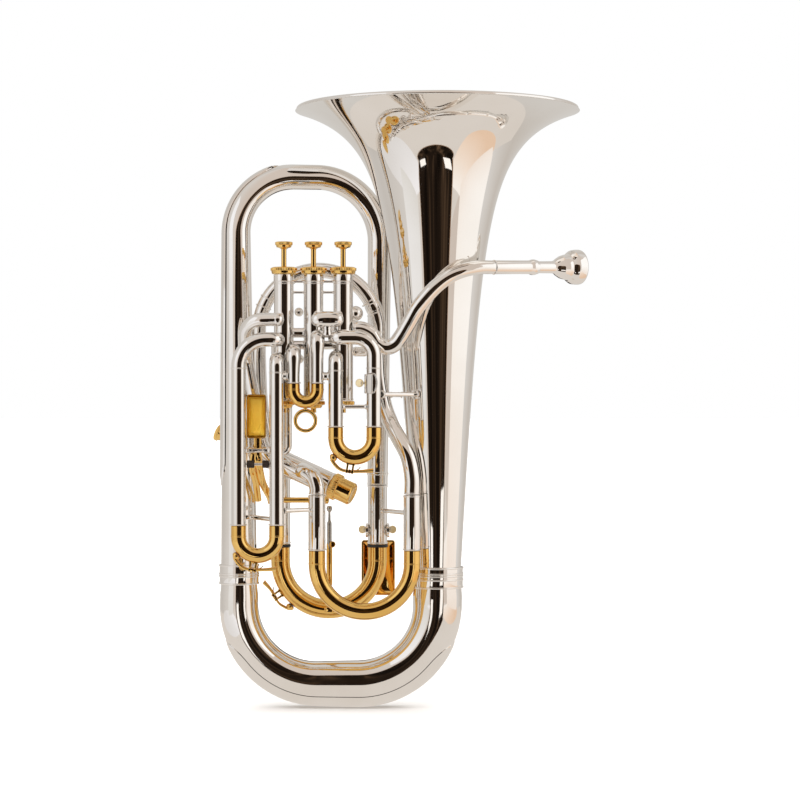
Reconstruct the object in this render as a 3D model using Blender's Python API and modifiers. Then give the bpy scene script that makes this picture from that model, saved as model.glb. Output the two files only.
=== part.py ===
"""Compensating euphonium (tenor tuba) with three front valves, one side valve and a tuning slide trigger.

Metres, +Z up. X runs from the outer branch to the mouthpiece and Y from the valves to the back.
The bell axis is parallel to Z, and the origin is under the middle of the instrument, where it stands.
"""

import math

import bmesh
import bpy
from mathutils import Matrix, Vector

# ---------------------------------------------------------------- driving dimensions
TOP_Z = 0.6485  # bell rim
RIM_RADIUS = 0.1525
BELL_X = 0.0405  # bell axis
BELL_FOOT_Z = 0.1405  # where the bell meets the bottom bow
SHEET = 0.0009  # wall of the large tubes
TUBE_WALL = 0.0007  # wall of the small tubes
GAP = 0.0004  # between pieces that are soldered or rest on each other

BOW_RADII = (0.0270, 0.0241, 0.0200)  # bottom bow: bell side, middle, branch side
BOW_BEND = 0.0854
GUARD_WALL = 0.0010
BRANCH_GUARD_WALL = 0.0018
BRANCH_GUARD_FOOT_Z = 0.2320
BOW_Z = BOW_RADII[1] + 0.00035 + GAP + GUARD_WALL  # bow centreline, so that the guard stands on Z 0

BRANCH_X = -0.1741  # outer branch at the bottom
BRANCH_TOP_X = -0.1768
BRANCH_TOP_Z = 0.5740
BRANCH_RADII = (0.0194, 0.0168, 0.0138, 0.0126, 0.0112)
REAR_Y = 0.033  # plane of the main tuning slide
MAIN_X = (-0.1309, -0.0246)  # its two legs
MAIN_BEND_Z = 0.1563
MAIN_TUBE_R = 0.0108

VALVE_Y = -0.045
VALVE_X = (-0.0605, -0.0920, -0.1235)  # valves one, two and three
CASING_R = 0.0104
CASING_Z = (0.3315, 0.4655)
CASING_WALL = 0.0012
STEM_R = 0.0028
BUTTON_R = 0.0093

FOURTH_FOOT = Vector((-0.0735, -0.0020, 0.2401))  # foot of the fourth casing
FOURTH_AXIS = Vector((-0.8839, 0.2394, 0.3986)).normalized()
FOURTH_R = 0.0128
FOURTH_LENGTH = 0.082

FRONT_Y = -0.0645  # plane of the three valve slides
FOURTH_SLIDE_Y = -0.032
FOURTH_SLIDE_X = (-0.0888, 0.0129)
FOURTH_SLIDE_BEND_Z = 0.1566
FOURTH_TUBE_R = 0.0092

ARCH_X = (-0.1520, -0.0237)
ARCH_Y = -0.008
ARCH_SPRING_Z = 0.4078

RECEIVER_END = Vector((0.1472, -0.0180, 0.4747))
PIPE_RISE = 0.027  # of the receiver and mouthpiece, for each metre along them
PIPE_DIRECTION = Vector((math.cos(math.radians(30)), math.sin(math.radians(30)), PIPE_RISE)).normalized()

PIVOT = Vector((-0.1515, -0.0420, 0.2787))  # trigger lever's axle, along X
SHAFT_Y, SHAFT_Z = 0.0140, 0.2233  # trigger's cross shaft
SHAFT_X = (-0.1435, -0.0768)

SLIDE_1_X = (-0.0679, -0.0276)
SLIDE_2_X = (-0.1124, -0.0872)
SLIDE_3_X = (-0.1704, -0.1302)
SLIDE_1_BEND_Z, SLIDE_2_BEND_Z, SLIDE_3_BEND_Z = 0.2917, 0.3426, 0.1878
SLIDE_TUBE_R = 0.0077  # first and third
SLIDE_2_TUBE_R = 0.0063
STEP_IN = 0.0014  # a slide's leg is this much thinner than its outer tube
STEP_CROOK = 0.0003  # and its crook this much

KEY_PIVOT_OUT = 0.0080  # water key's hinge, outward from the crook's surface
KEY_TURNS = (math.radians(-48), math.radians(30))  # pad and tail, round the crook from straight down
MAIN_KEY_TURNS = (math.radians(-40), math.radians(-72))

# ---------------------------------------------------------------- scene and materials
for old in list(bpy.data.objects):
    bpy.data.objects.remove(old, do_unlink=True)

parts = bpy.data.collections.new("euphonium")
cutters = bpy.data.collections.new("cutters")
bpy.context.scene.collection.children.link(parts)
bpy.context.scene.collection.children.link(cutters)

FINISHES = {
    "silver": ((0.86, 0.82, 0.78), 0.12, 1.0),
    "gold": ((0.87, 0.58, 0.20), 0.14, 1.0),
    "steel": ((0.55, 0.55, 0.55), 0.3, 1.0),
    "rubber": ((0.03, 0.03, 0.03), 0.7, 0.0),
    "felt": ((0.16, 0.10, 0.07), 0.95, 0.0),
}


def paint(obj, finish):
    """Gives obj a material of its own in one of the finishes."""
    color, roughness, metallic = FINISHES[finish]
    material = bpy.data.materials.new(obj.name + "_" + finish)
    material.use_nodes = True
    shader = material.node_tree.nodes["Principled BSDF"]
    shader.inputs["Base Color"].default_value = (*color, 1.0)
    shader.inputs["Roughness"].default_value = roughness
    shader.inputs["Metallic"].default_value = metallic
    obj.data.materials.clear()
    obj.data.materials.append(material)


def place(name, data, finish, home=parts):
    """Links a new object of that data."""
    obj = bpy.data.objects.new(name, data)
    home.objects.link(obj)
    if finish:
        paint(obj, finish)
    return obj


# ---------------------------------------------------------------- paths
def bent(corners, bends, steps=5):
    """Straight runs through corners, rounded at each inner corner by an arc of the given radius."""
    corners = [Vector(c) for c in corners]
    path = [corners[0]]
    for before, corner, after, radius in zip(corners, corners[1:], corners[2:], bends):
        back, ahead = (before - corner).normalized(), (after - corner).normalized()
        half = back.angle(ahead) / 2
        reach = radius / math.tan(half)
        centre = corner + (back + ahead).normalized() * (radius / math.sin(half))
        start, end = corner + back * reach - centre, corner + ahead * reach - centre
        for i in range(steps + 1):
            path.append(centre + start.slerp(end, i / steps).normalized() * radius)
    path.append(corners[-1])
    return [p for i, p in enumerate(path) if i == 0 or (p - path[i - 1]).length > 1e-5]


def smooth(points, steps=3):
    """A Catmull-Rom curve through points."""
    points = [Vector(p) for p in points]
    padded = [points[0] * 2 - points[1], *points, points[-1] * 2 - points[-2]]
    path = []
    for a, b, c, d in zip(padded, padded[1:], padded[2:], padded[3:]):
        for i in range(steps):
            t = i / steps
            path.append(
                0.5 * (b * 2 + (c - a) * t + (a * 2 - b * 5 + c * 4 - d) * t**2 + (b * 3 - a - c * 3 + d) * t**3)
            )
    path.append(points[-1])
    return path


def taper(path, *radii):
    """A radius for each point of path, through radii that are evenly spaced along its length."""
    run = [0.0]
    for a, b in zip(path, path[1:]):
        run.append(run[-1] + (b - a).length)
    made = []
    for s in run:
        place_in = s / run[-1] * (len(radii) - 1)
        i = min(int(place_in), len(radii) - 2)
        made.append(radii[i] + (radii[i + 1] - radii[i]) * (place_in - i))
    return made


def u_path(xs, y, bend_z, tops, steps=6):
    """Down one leg, round a half circle and up the other."""
    middle, radius = (xs[0] + xs[1]) / 2, (xs[1] - xs[0]) / 2
    path = [Vector((xs[0], y, tops[0]))]
    for i in range(steps + 1):
        turn = math.pi * i / steps
        path.append(Vector((middle - radius * math.cos(turn), y, bend_z - radius * math.sin(turn))))
    path.append(Vector((xs[1], y, tops[1])))
    return path


# ---------------------------------------------------------------- shapes
def tube(name, path, radius, finish, wall=None, sides=12):
    """A pipe or rod along path. radius is one number or one for each point; wall makes it hollow."""
    radii = radius if isinstance(radius, (list, tuple)) else [radius] * len(path)
    data = bpy.data.curves.new(name, "CURVE")
    data.dimensions = "3D"
    data.bevel_depth = max(radii)
    data.bevel_resolution = (sides - 4) // 2
    data.use_fill_caps = wall is None
    spline = data.splines.new("POLY")
    spline.points.add(len(path) - 1)
    for point, place_at, r in zip(spline.points, path, radii):
        point.co = (*place_at, 1.0)
        point.radius = r / data.bevel_depth
    spline.use_smooth = True
    obj = place(name, data, finish)
    if wall:
        shell = obj.modifiers.new("wall", "SOLIDIFY")
        shell.thickness = wall
        shell.offset = -1
    return obj


def turned(name, profile, finish, at=(0, 0, 0), axis=(0, 0, 1), segments=16, ring=False):
    """A profile of (radius, height) turned about an axis. A ring's profile closes on itself."""
    mesh = bpy.data.meshes.new(name)
    count = len(profile)
    edges = [(i, i + 1) for i in range(count - 1)]
    if ring:
        edges.append((count - 1, 0))
    mesh.from_pydata([(r, 0, h) for r, h in profile], edges, [])
    obj = place(name, mesh, finish)
    screw = obj.modifiers.new("turn", "SCREW")
    screw.steps = screw.render_steps = segments
    screw.use_merge_vertices = True
    screw.merge_threshold = 0.00001
    screw.use_smooth_shade = True
    obj.location = at
    obj.rotation_mode = "QUATERNION"
    obj.rotation_quaternion = Vector(axis).to_track_quat("Z", "Y")
    return obj


def pipe(name, radius, wall, low, high, finish, at=(0, 0, 0), axis=(0, 0, 1), segments=16):
    """A straight open pipe between two heights."""
    inner = radius - wall
    profile = [(radius, high), (radius, low), (inner, low), (inner, high)]
    return turned(name, profile, finish, at, axis, segments, ring=True)


def block(name, size, at, finish, turn=None, bevel=0.0, home=parts):
    """A box with its edges rounded."""
    mesh = bpy.data.meshes.new(name)
    made = bmesh.new()
    bmesh.ops.create_cube(made, size=1.0, matrix=Matrix.Diagonal((*size, 1.0)))
    made.to_mesh(mesh)
    made.free()
    obj = place(name, mesh, finish, home)
    obj.location = at
    if turn:
        obj.rotation_euler = turn
    if bevel:
        rounded = obj.modifiers.new("edges", "BEVEL")
        rounded.width = bevel
        rounded.segments = 1
    return obj


def solid_mesh(obj):
    """The evaluated object as a welded mesh in world coordinates."""
    bpy.context.view_layer.update()
    shown = obj.evaluated_get(bpy.context.evaluated_depsgraph_get())
    mesh = bpy.data.meshes.new_from_object(shown)
    made = bmesh.new()
    made.from_mesh(mesh)
    bmesh.ops.remove_doubles(made, verts=made.verts, dist=0.00001)
    made.to_mesh(mesh)
    made.free()
    mesh.transform(obj.matrix_world)
    return mesh


def combined(first, others, operation, finish):
    """first with the other objects joined to it or cut from it, as one mesh object."""
    name = first.name
    meshes = [solid_mesh(o) for o in [first, *others]]
    for o in [first, *others]:
        bpy.data.objects.remove(o, do_unlink=True)
    obj = place(name, meshes[0], finish)
    for i, mesh in enumerate(meshes[1:]):
        tool = place(f"{name}_tool_{i}", mesh, None, cutters)
        tool.hide_render = True
        tool.display_type = "WIRE"
        step = obj.modifiers.new(f"step_{i}", "BOOLEAN")
        step.operation = operation
        step.object = tool
        step.solver = "EXACT"
    return obj


def guard(name, path, radii, centre, cover, finish, wall, across=6):
    """A plate over the outer side of a bend: an open strip of the tube's own surface, given a thickness."""
    mesh = bpy.data.meshes.new(name)
    made = bmesh.new()
    rows = []
    for i, (p, r) in enumerate(zip(path, radii)):
        along = (path[min(i + 1, len(path) - 1)] - path[max(i - 1, 0)]).normalized()
        side = Vector((0, 1, 0))
        outward = side.cross(along).normalized()
        if outward.dot(p - centre) < 0:
            outward.negate()
        row = []
        for k in range(across + 1):
            turn = cover * (2 * k / across - 1)
            spot = p + (outward * math.cos(turn) + side * math.sin(turn)) * (r + GAP)
            row.append(made.verts.new(spot))
        rows.append(row)
    for a, b in zip(rows, rows[1:]):
        for k in range(across):
            made.faces.new((a[k], a[k + 1], b[k + 1], b[k]))
    bmesh.ops.recalc_face_normals(made, faces=made.faces)
    middle = made.faces[len(made.faces) // 2]
    if middle.normal.dot(middle.calc_center_median() - centre) < 0:
        bmesh.ops.reverse_faces(made, faces=made.faces)
    made.to_mesh(mesh)
    made.free()
    obj = place(name, mesh, finish)
    shell = obj.modifiers.new("plate", "SOLIDIFY")
    shell.thickness = wall
    shell.offset = 1
    return obj


# ---------------------------------------------------------------- bell, bows and branch
def bell_radius(depth):
    """Outer radius of the bell at a depth below the rim: a slow cone and a horn's flare."""
    return 0.04298 - 0.0447 * depth + 0.0021425 / (depth + 0.04115) ** 1.276


def make_bell():
    """The bell, its rim wire and the ferrule that joins it to the bottom bow."""
    edge, foot, rows = 0.0063, TOP_Z - BELL_FOOT_Z, 12
    depths = [edge + (foot - edge) * (i / rows) ** 2.2 for i in range(rows + 1)]
    outer = [(bell_radius(d), TOP_Z - d) for d in depths]
    inner = [(r - SHEET, z + SHEET * 0.8) for r, z in reversed(outer[:-1])]
    inner.insert(0, (outer[-1][0] - SHEET, outer[-1][1]))
    turned("bell", outer + inner, "silver", (BELL_X, 0, 0), segments=32, ring=True)
    wire = [
        (RIM_RADIUS - 0.0013, TOP_Z),
        (RIM_RADIUS, TOP_Z - 0.0013),
        (RIM_RADIUS, TOP_Z - 0.0032),
        (RIM_RADIUS - 0.0012, TOP_Z - 0.0046),
        (RIM_RADIUS - 0.0042, TOP_Z - 0.0046),
        (RIM_RADIUS - 0.0042, TOP_Z),
    ]
    turned("bell_rim_wire", wire, "silver", (BELL_X, 0, 0), segments=32, ring=True)
    ferrule("bell_ferrule", BELL_X, 0.1292, 0.1520, 0.0263)


def ferrule(name, x, low, high, inner):
    """A sleeve with beaded ends and one bead part of the way down."""
    skin = inner + 0.0013
    bead = skin + 0.0008
    rings = [high, high - 0.0012, high - 0.0062, high - 0.0075, high - 0.0088, low + 0.0012, low]
    radii = [bead, skin, skin, bead, skin, skin, bead]
    profile = list(zip(radii, rings)) + [(inner, low), (inner, high)]
    turned(name, profile, "silver", (x, 0, 0), segments=20, ring=True)


def make_bottom_bow():
    """The wide bow under the instrument and the guard it stands on."""
    corners = [(BELL_X, 0, 0.1398), (BELL_X, 0, BOW_Z), (BRANCH_X, 0, BOW_Z), (BRANCH_X, 0, 0.1445)]
    path = bent(corners, (BOW_BEND, BOW_BEND), steps=6)
    radii = taper(path, BOW_RADII[0], (BOW_RADII[0] + BOW_RADII[1]) / 2, BOW_RADII[1], 0.0219, BOW_RADII[2])
    radii[0], radii[-1] = 0.0258, 0.0194
    neck = Vector((BELL_X, 0, 0.1285))
    path.insert(1, neck)
    radii.insert(1, 0.0258)
    path.insert(-1, Vector((BRANCH_X, 0, 0.1325)))
    radii.insert(-1, 0.0194)
    tube("bottom_bow", path, radii, "silver", SHEET, 14)
    covered = path[3:-3]
    centre = Vector(((BELL_X + BRANCH_X) / 2, 0, 0.11))
    guard("bow_guard", covered, radii[3:-3], centre, math.radians(58), "silver", GUARD_WALL)


def make_branch():
    """The outer branch, with its top bow running back to the main slide, its ferrule and its guard."""
    ferrule("branch_ferrule", BRANCH_X, 0.1330, 0.1547, 0.0199)
    corners = [
        (BRANCH_X, 0, 0.1452),
        (BRANCH_TOP_X, 0, BRANCH_TOP_Z),
        (MAIN_X[1] + 0.0028, REAR_Y, BRANCH_TOP_Z + 0.001),
        (MAIN_X[1], REAR_Y, 0.2400),
    ]
    path = bent(corners, (0.062, 0.069), steps=6)
    rise = path[1].z - path[0].z
    foot_share = (BRANCH_GUARD_FOOT_Z - path[0].z) / rise
    path[1:1] = [path[0].lerp(path[1], share) for share in (foot_share, 0.5, 0.75)]
    radii = taper(path, *BRANCH_RADII)
    tube("top_branch", path, radii, "silver", SHEET, 14)
    centre = Vector((-0.10, 0, 0.42))
    plate = slice(1, 10)
    guard("branch_guard", path[plate], radii[plate], centre, math.radians(42), "silver", BRANCH_GUARD_WALL, 5)


# ---------------------------------------------------------------- main tuning slide
def make_main_slide():
    """Receivers, rubber bumpers and the sliding rear U."""
    for side, x, top in zip(("left", "right"), MAIN_X, (0.2470, 0.2390)):
        pipe(f"main_receiver_{side}", MAIN_TUBE_R, 0.0008, 0.1745, top, "silver", (x, REAR_Y, 0))
        pipe(f"main_bumper_{side}", 0.0113, 0.0012, 0.1712, 0.1741, "rubber", (x, REAR_Y, 0), segments=12)
    path = u_path(MAIN_X, REAR_Y, MAIN_BEND_Z, (0.2300, 0.2300), 10)
    crook = sliding_u("main_slide", path, 0.1708, 0.0094, 0.0103)
    clamp = block("clamp", (0.0080, 0.0088, 0.0080), (SHAFT_X[1], 0.0197, 0.1032), None)
    combined(crook, [clamp, key_saddle(MAIN_CROOK, sum(MAIN_KEY_TURNS) / 2)], "UNION", "gold")


def sliding_u(name, path, shoulder_z, leg_r, crook_r):
    """A crook whose legs are thinner above the shoulder, where they run inside the outer tubes."""
    first, last = path[0], path[-1]
    points = [first, Vector((first.x, first.y, shoulder_z + 0.0001)), Vector((first.x, first.y, shoulder_z))]
    points += path[1:-1]
    points += [Vector((last.x, last.y, shoulder_z)), Vector((last.x, last.y, shoulder_z + 0.0001)), last]
    radii = [leg_r, leg_r] + [crook_r] * (len(points) - 4) + [leg_r, leg_r]
    return tube(name, points, radii, "gold", 0.0008, 10)


# ---------------------------------------------------------------- valves
def valve(number, foot, axis, length, radius, bottom_cap_length, stem_length, at_top, cap_out):
    """One piston valve: casing, two caps, spring and piston with its stem and finger button."""
    name = str(number)
    bore = radius - CASING_WALL
    piston_r = bore - 0.0004
    ring = radius + 0.0008
    casing = [
        (radius, length),
        (radius, length - 0.0065),
        (ring, length - 0.0072),
        (ring, length - 0.0082),
        (radius, length - 0.0089),
        (radius, 0.0),
        (bore, 0.0),
        (bore, length),
    ]
    shell = turned(f"casing_{name}", casing, "silver", foot, axis, ring=True)
    cap_r, cap = radius + cap_out, 0.0078
    top = [
        (STEM_R + 0.0006, length + cap),
        (cap_r - 0.001, length + cap),
        (cap_r, length + cap - 0.0015),
        (cap_r, length + 0.0035),
        (radius + 0.0006, length + GAP),
        (STEM_R + 0.0006, length + GAP),
    ]
    turned(f"top_cap_{name}", top, "gold", foot, axis, ring=True)
    cup = radius - 0.0012
    bottom = [
        (0, -0.0024),
        (bore - 0.002, -0.0024),
        (bore - 0.002, -GAP),
        (ring, -GAP),
        (ring + at_top, -0.0012),
        (ring + at_top, -0.0042),
        (cup, -0.0048),
        (cup, -bottom_cap_length),
        (0.0028, -bottom_cap_length - 0.0002),
        (0.0028, -bottom_cap_length - 0.0048),
        (0, -bottom_cap_length - 0.0052),
    ]
    turned(f"bottom_cap_{name}", bottom, "gold", foot, axis)
    piston_top, piston_foot = length - 0.004, length - 0.100 if length > 0.12 else 0.028
    button_z = length + cap + stem_length
    piston = [
        (0, button_z + 0.0062),
        (BUTTON_R * 0.8, button_z + 0.0066),
        (BUTTON_R, button_z + 0.0050),
        (BUTTON_R, button_z + 0.0034),
        (STEM_R + 0.001, button_z),
        (STEM_R, button_z - 0.001),
        (STEM_R, piston_top),
        (piston_r, piston_top),
        (piston_r, piston_foot),
        (piston_r * 0.55, piston_foot),
        (piston_r * 0.55, piston_foot + 0.003),
        (piston_r - CASING_WALL, piston_foot + 0.003),
        (piston_r - CASING_WALL, piston_top - 0.003),
        (0, piston_top - 0.003),
    ]
    turned(f"piston_{name}", piston, "steel", foot, axis)
    turns, points = 4, 24
    low, high = 0.0008, piston_foot - 0.0008
    spin = Vector(axis).to_track_quat("Z", "Y")
    coil = []
    for i in range(points + 1):
        a = 2 * math.pi * turns * i / points
        rise = low + 0.0006 + (high - low - 0.0012) * i / points
        coil.append(Vector(foot) + spin @ Vector((piston_r * 0.72 * math.cos(a), piston_r * 0.72 * math.sin(a), rise)))
    tube(f"spring_{name}", coil, 0.0005, "steel", None, 4)
    return shell


def make_valves():
    """Three upright valves, whose casings are one block with ports and braces, and the slanting fourth."""
    casings = []
    for i, x in enumerate(VALVE_X):
        foot = (x, VALVE_Y, CASING_Z[0])
        casings.append(
            valve(i + 1, foot, (0, 0, 1), CASING_Z[1] - CASING_Z[0], CASING_R, 0.0080, 0.0205, 0.0010, 0.0038)
        )
    valve(4, FOURTH_FOOT, FOURTH_AXIS, FOURTH_LENGTH, FOURTH_R, 0.0255, 0.0468, 0.0011, 0.0018)
    links = []
    for i in range(2):
        middle = (VALVE_X[i] + VALVE_X[i + 1]) / 2
        half = (VALVE_X[0] - VALVE_X[1]) / 2 - CASING_R + CASING_WALL / 2
        for height, radius in ((0.3965, 0.0070), (0.4475, 0.0022)):
            profile = [(0, half), (radius, half), (radius, -half), (0, -half)]
            links.append(turned("link", profile, None, (middle, VALVE_Y, height), (1, 0, 0), 12))
    casings[0].name = "valve_block"
    combined(casings[0], casings[1:] + links, "UNION", "silver")


# ---------------------------------------------------------------- valve slides
def make_slide(number, xs, bend_z, gold_z, radius, tops, heads):
    """Outer tubes and sliding U of one valve. heads say where each outer tube turns back to the valves."""
    back = FRONT_Y + 0.0080
    outer = []
    for side, x, top, head in zip(("left", "right"), xs, tops, heads):
        if head is None:
            corners = [(x, FRONT_Y, gold_z + GAP), (x, FRONT_Y, top), (x, back, top)]
            bends = (0.0078,)
        else:
            sweep, end = head
            corners = [(x, FRONT_Y, gold_z + GAP), (x, FRONT_Y, top), (end, FRONT_Y, top), (end, back, top)]
            bends = (sweep, 0.0078)
        name = f"slide_{number}_tube_{side}"
        outer.append(tube(name, bent(corners, bends, 3), radius, "silver", TUBE_WALL, 14))
    path = u_path(xs, FRONT_Y, bend_z, [gold_z + (top - gold_z) * 0.72 for top in (min(tops), min(tops))])
    crook = sliding_u(f"slide_{number}", path, gold_z, radius - STEP_IN, radius - STEP_CROOK)
    return outer, crook


def make_valve_slides():
    """The first, second and third valve slides, the pull ring and the knuckle between valves one and two."""
    (left, right), crook = make_slide(
        1, SLIDE_1_X, SLIDE_1_BEND_Z, 0.3028, SLIDE_TUBE_R, (0.3770, 0.3980), (None, (0.0195, -0.0686))
    )
    inset = SLIDE_TUBE_R - TUBE_WALL / 2
    ends = [(SLIDE_1_X[0] + inset, FRONT_Y, 0.3250), (SLIDE_1_X[1] - inset, FRONT_Y, 0.3250)]
    left.name = "slide_1_tubes"
    combined(left, [right, rod("brace", *ends, 0.0024, None, 0)], "UNION", "silver")
    combined(crook, [key_saddle(CROOK_1, sum(KEY_TURNS) / 2)], "UNION", "gold")
    _, crook = make_slide(2, SLIDE_2_X, SLIDE_2_BEND_Z, 0.3489, SLIDE_2_TUBE_R, (0.3838, 0.3990), (None, None))
    middle, wire, loop_z = sum(SLIDE_2_X) / 2, 0.0015, 0.3102
    section = [(0.0111 + wire * math.cos(a), wire * math.sin(a)) for a in [-math.pi * i / 3 for i in range(6)]]
    loop = turned("loop", section, None, (middle, FRONT_Y, loop_z), (0, 1, 0), 16, ring=True)
    post_profile = [(0, 0.0034), (0.0022, 0.0034), (0.0022, 0), (0, 0)]
    post = turned("post", post_profile, None, (middle, FRONT_Y, loop_z + 0.0110), segments=8)
    combined(crook, [loop, post], "UNION", "gold")
    _, crook = make_slide(
        3, SLIDE_3_X, SLIDE_3_BEND_Z, 0.1991, SLIDE_TUBE_R, (0.3959, 0.3750), ((0.0285, -0.1296), None)
    )
    combined(crook, [key_saddle(CROOK_3, sum(KEY_TURNS) / 2)], "UNION", "gold")
    half, r = 0.0083, 0.0086
    domes = [(-half - r * math.cos(t), r * math.sin(t)) for t in (0.2, 0.7, 1.2, math.pi / 2)]
    domes += [(-h, w) for h, w in reversed(domes)]
    path = [Vector((-0.0768 + h, -0.0650, 0.4170)) for h, _ in domes]
    tube("front_knuckle", path, [w for _, w in domes], "silver")


# ---------------------------------------------------------------- inner tubing
def make_inner_tubing():
    """Arch behind the valves, gooseneck to the fourth slide, and the tubes that reach the fourth valve."""
    middle, span = (ARCH_X[0] + ARCH_X[1]) / 2, (ARCH_X[1] - ARCH_X[0]) / 2
    path = [Vector((-0.1440, 0.004, 0.2905)), Vector((-0.1500, -0.004, 0.3300)), Vector((ARCH_X[0], ARCH_Y, 0.3800))]
    for i in range(11):
        turn = math.pi * i / 10
        path.append(Vector((middle - span * math.cos(turn), ARCH_Y, ARCH_SPRING_Z + span * math.sin(turn))))
    path.append(Vector((ARCH_X[1], ARCH_Y, 0.3860)))
    tube("inner_arch", path, taper(path, 0.0073, 0.0073, 0.0078, 0.0084, 0.0086), "silver", TUBE_WALL, 10)
    right, depth = FOURTH_SLIDE_X[1], FOURTH_SLIDE_Y
    goose = [
        (ARCH_X[1], ARCH_Y, 0.3852),
        (-0.0222, -0.0080, 0.3550),
        (-0.0172, -0.0100, 0.3267),
        (-0.0100, -0.0160, 0.3070),
        (-0.0010, -0.0230, 0.2905),
        (0.0085, -0.0295, 0.2720),
        (right, depth, 0.2500),
        (right, depth, 0.2312),
    ]
    tube("gooseneck", smooth(goose, 1), 0.0086, "silver", TUBE_WALL, 10)
    left = FOURTH_SLIDE_X[0]
    elbow = [(left, depth, 0.2312), (left, depth, 0.2390), (-0.0925, -0.0300, 0.2490), (-0.1010, -0.0235, 0.2550)]
    tube("fourth_elbow", smooth([*elbow, (-0.1060, -0.0180, 0.2565)], 2), 0.0085, "silver", TUBE_WALL, 10)
    for side, x in zip(("left", "right"), FOURTH_SLIDE_X):
        pipe(f"slide_4_tube_{side}", FOURTH_TUBE_R, TUBE_WALL, 0.1712, 0.2305, "silver", (x, depth, 0))
    path = u_path(FOURTH_SLIDE_X, depth, FOURTH_SLIDE_BEND_Z, (0.2270, 0.2270))
    sliding_u("slide_4", path, 0.1707, FOURTH_TUBE_R - 0.0014, FOURTH_TUBE_R - 0.0003)
    link = [(-0.1296, -0.0640, 0.4170), (-0.1640, -0.0600, 0.4170)]
    link += [(-0.1640, -0.0290, 0.3750), (-0.1560, -0.0180, 0.3300), (-0.1500, -0.0130, 0.2990)]
    tube("third_to_fourth_tube", bent(link, (0.020, 0.030, 0.030), 3), 0.0070, "silver", TUBE_WALL, 10)


# ---------------------------------------------------------------- leadpipe and mouthpiece
def make_leadpipe():
    """The pipe from the first valve to the mouthpiece receiver, and the mouthpiece."""
    foot = RECEIVER_END - PIPE_DIRECTION * 0.0557
    route = [
        (-0.0492, -0.0450, 0.4075),
        (-0.0400, -0.0450, 0.4073),
        (-0.0300, -0.0450, 0.4015),
        (-0.0240, -0.0450, 0.3925),
        (-0.0150, -0.0455, 0.3880),
        (-0.0060, -0.0465, 0.3910),
        (0.0015, -0.0490, 0.4005),
        (0.0085, -0.0520, 0.4126),
        (0.0169, -0.0560, 0.4273),
        (0.0275, -0.0580, 0.4410),
        (0.0391, -0.0590, 0.4531),
        (0.0529, -0.0588, 0.4632),
        (0.0689, -0.0575, 0.4696),
        (0.0840, -0.0526, 0.4727),
    ]
    path = [Vector(p) for p in route] + [foot - PIPE_DIRECTION * away for away in (0.0045, 0.0006)]
    tube("leadpipe", path, taper(path, 0.0082, 0.0080, 0.0072), "silver", TUBE_WALL, 10)
    length = 0.0557
    sleeve = [(0.0082, length), (0.0082, length - 0.010), (0.0075, length - 0.0105), (0.0075, 0.0)]
    sleeve += [(0.0066, 0.0), (0.0066, length - 0.026), (0.0071, length)]
    turned("mouthpiece_receiver", sleeve, "silver", foot, PIPE_DIRECTION, ring=True)
    rim = 0.0190
    outer = [
        (0.0141, 0.0545),
        (0.0165, 0.0556),
        (rim, 0.0530),
        (rim, 0.0510),
        (0.0160, 0.0470),
        (0.0155, 0.0420),
        (0.0135, 0.0340),
        (0.0090, 0.0250),
        (0.0066, 0.0180),
        (0.0064, 0.0010),
        (0.0060, -0.0200),
    ]
    bore = [(0.0045, -0.0200), (0.0032, 0.0220), (0.0060, 0.0300), (0.0110, 0.0400), (0.0128, 0.0490)]
    turned("mouthpiece", outer + bore, "silver", RECEIVER_END, PIPE_DIRECTION, 20, ring=True)


# ---------------------------------------------------------------- braces, plate and screws
def rod(name, start, end, radius, finish, flange=0.0016, segments=8):
    """A brace with a small flange at each end."""
    start, end = Vector(start), Vector(end)
    length = (end - start).length
    wide = radius + flange
    profile = [(0, length), (wide, length), (wide, length - 0.0012), (radius, length - 0.0018)]
    profile += [(radius, 0.0018), (wide, 0.0012), (wide, 0), (0, 0)]
    return turned(name, profile, finish, start, end - start, segments)


def make_fittings():
    """The brace to the bell and the plate that guards the player's hand."""
    rod("bell_brace", (-0.0078, -0.0085, 0.3375), (0.0018, -0.0085, 0.3375), 0.0034, "silver")
    block("hand_plate", (0.0369, 0.0022, 0.0607), (-0.0240, 0.0485, 0.1475), "gold", bevel=0.0008)


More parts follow.
